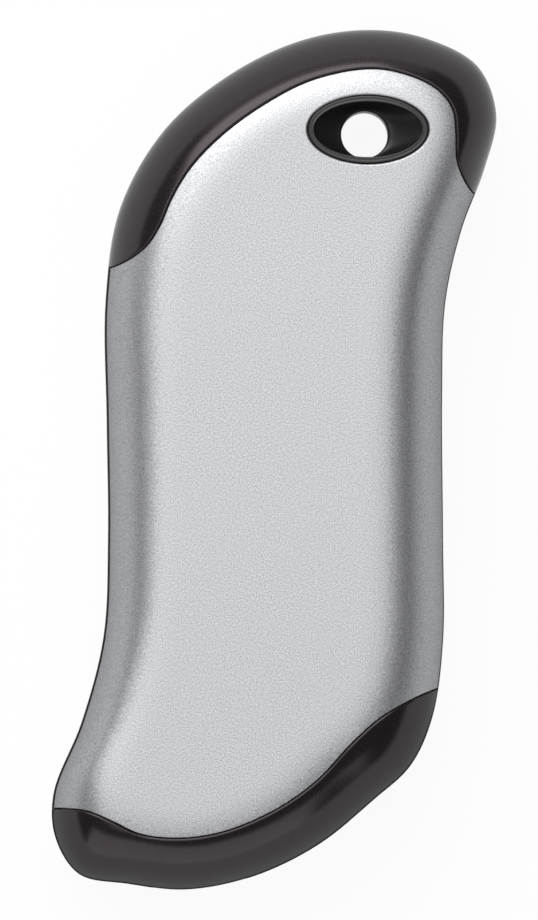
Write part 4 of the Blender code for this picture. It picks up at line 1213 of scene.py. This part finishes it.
def make_micro_usb():
    """The small charging socket: sleeve, dark tongue and five contacts."""
    sleeve("micro_usb_sleeve", micro_outline, MICRO_LENGTH, 0.00018, MICRO_AXES, (),
           "micro_usb_shell")
    grow = USB_WALL + FIT_GAP
    back = -MICRO_LENGTH + grow
    foot = back + MICRO_BLOCK
    front = -TONGUE_RECESS

    def tongue(inset):
        return rounded(MICRO_WIDTH / 2 - 2 * inset, MICRO_TONGUE - 2 * inset, 0.0001,
                       shift=(0, MICRO_Z))

    first = stepped("tongue", (tongue(0), tongue(0), tongue(0.00012)),
                    (back, front - 0.00015, front), MICRO_AXES)
    second = straight(micro_outline(-grow), (back, foot), MICRO_AXES)
    made = joined("micro_usb_insulator", [first, second], DARK_TONGUE)
    seat(made, "micro_usb_tongue")
    face = MICRO_Z - MICRO_TONGUE / 2
    solids = [contact(MICRO_AXES, 0.00065 * place, face, 0.0003, foot, front - 0.0004,
                      0.00008) for place in (-2, -1, 0, 1, 2)]
    seat(joined("micro_usb_contacts", solids, GOLD), "micro_usb_tongue")


shell = shell_sheet()
half = frame_sheet()
for side, prefix in ((1, "front"), (-1, "rear")):
    sheet = shell if side > 0 else shell.mirrored()
    made = set_normals(sheet.mesh(f"{prefix}_shell_skin", SILVER), sheet)
    seat(made, f"{prefix}_shell")
    sheet = half if side > 0 else half.mirrored()
    made = sheet.mesh(f"{prefix}_bumper", BLACK)
    cut_out(made, gather(frame_cuts(side)))
    set_normals(made, sheet)
    seat(made, f"{prefix}_frame")
    make_posts(prefix, side)
    make_eyelet(prefix, side)
# The button's top is a little dished for a fingertip.
made = capped("button_cap", button_outline, button_outline(BUTTON_LIP), 0.0003,
              0.96 * BUTTON_HEIGHT / 2, BUTTON_AXES, 0, BUTTON_BLACK, 0.00018)
seat(made, "power_button", "button")
made = capped("lamp_window", lens_outline, lens_foot(), 0.00015, 0.94 * LENS_HEIGHT / 2,
              LENS_AXES, SHELL_STEP / 2, CLEAR)
seat(made, "indicator_lens")
make_usb()
make_micro_usb()


# Floor, lights, room and camera

def make_floor():
    """A wide plain pale floor, which the camera, metal and glass see as white."""
    mesh = bpy.data.meshes.new("floor")
    reach = FLOOR_REACH
    corners = [(-reach, -reach, 0), (reach, -reach, 0), (reach, reach, 0), (-reach, reach, 0)]
    mesh.from_pydata(corners, [], [(0, 1, 2, 3)])
    paper = look("pale_paper", (0.85, 0.85, 0.85), 0.9)
    tree = paper.node_tree
    path = tree.nodes.new("ShaderNodeLightPath").outputs
    seen = calculate(tree, "MAXIMUM", path["Is Camera Ray"], path["Is Glossy Ray"])
    seen = calculate(tree, "MAXIMUM", seen, path["Is Transmission Ray"])
    white_glow = tree.nodes.new("ShaderNodeEmission")
    mix = tree.nodes.new("ShaderNodeMixShader")
    tree.links.new(calculate(tree, "MULTIPLY", seen, WHITE_SHARE), mix.inputs["Fac"])
    tree.links.new(tree.nodes["Principled BSDF"].outputs[0], mix.inputs[1])
    tree.links.new(white_glow.outputs[0], mix.inputs[2])
    tree.links.new(mix.outputs[0], tree.nodes["Material Output"].inputs["Surface"])
    mesh.materials.append(paper)
    placed("floor", mesh)


def softbox(name, place, width, height, power):
    """A rectangular soft light that faces the object."""
    light = bpy.data.lights.new(name, "AREA")
    light.shape = "RECTANGLE"
    light.size = width
    light.size_y = height
    light.energy = power
    made = placed(name, light)
    made.location = place
    made.rotation_mode = "QUATERNION"
    made.rotation_quaternion = (LIGHT_TARGET - Vector(place)).to_track_quat("-Z", "Y")


def make_world():
    """An even dim room above the horizon, and white below it, where the floor ends."""
    world = bpy.data.worlds.new("studio")
    scene.world = world
    world.use_nodes = True
    tree = world.node_tree
    background = tree.nodes["Background"]
    background.inputs["Color"].default_value = (1, 1, 1, 1)
    below = calculate(tree, "LESS_THAN", coordinate(tree, "Generated", "Z"), 0)
    tree.links.new(ramp(tree, below, 0, 1, ROOM_LEVEL, 1), background.inputs["Strength"])


def make_camera():
    """A long lens straight above the front face."""
    camera = placed("camera", bpy.data.cameras.new("camera"))
    scene.camera = camera
    camera.data.sensor_width = SENSOR
    camera.data.lens = LENS
    camera.data.clip_start = 0.5
    camera.data.clip_end = 20
    camera.location = (*CAMERA_PLACE, FRAME_HEIGHT * LENS / SENSOR + MID)


make_floor()
for light in LIGHTS:
    softbox(*light)
make_world()
make_camera()
scene.view_settings.view_transform = "Standard"
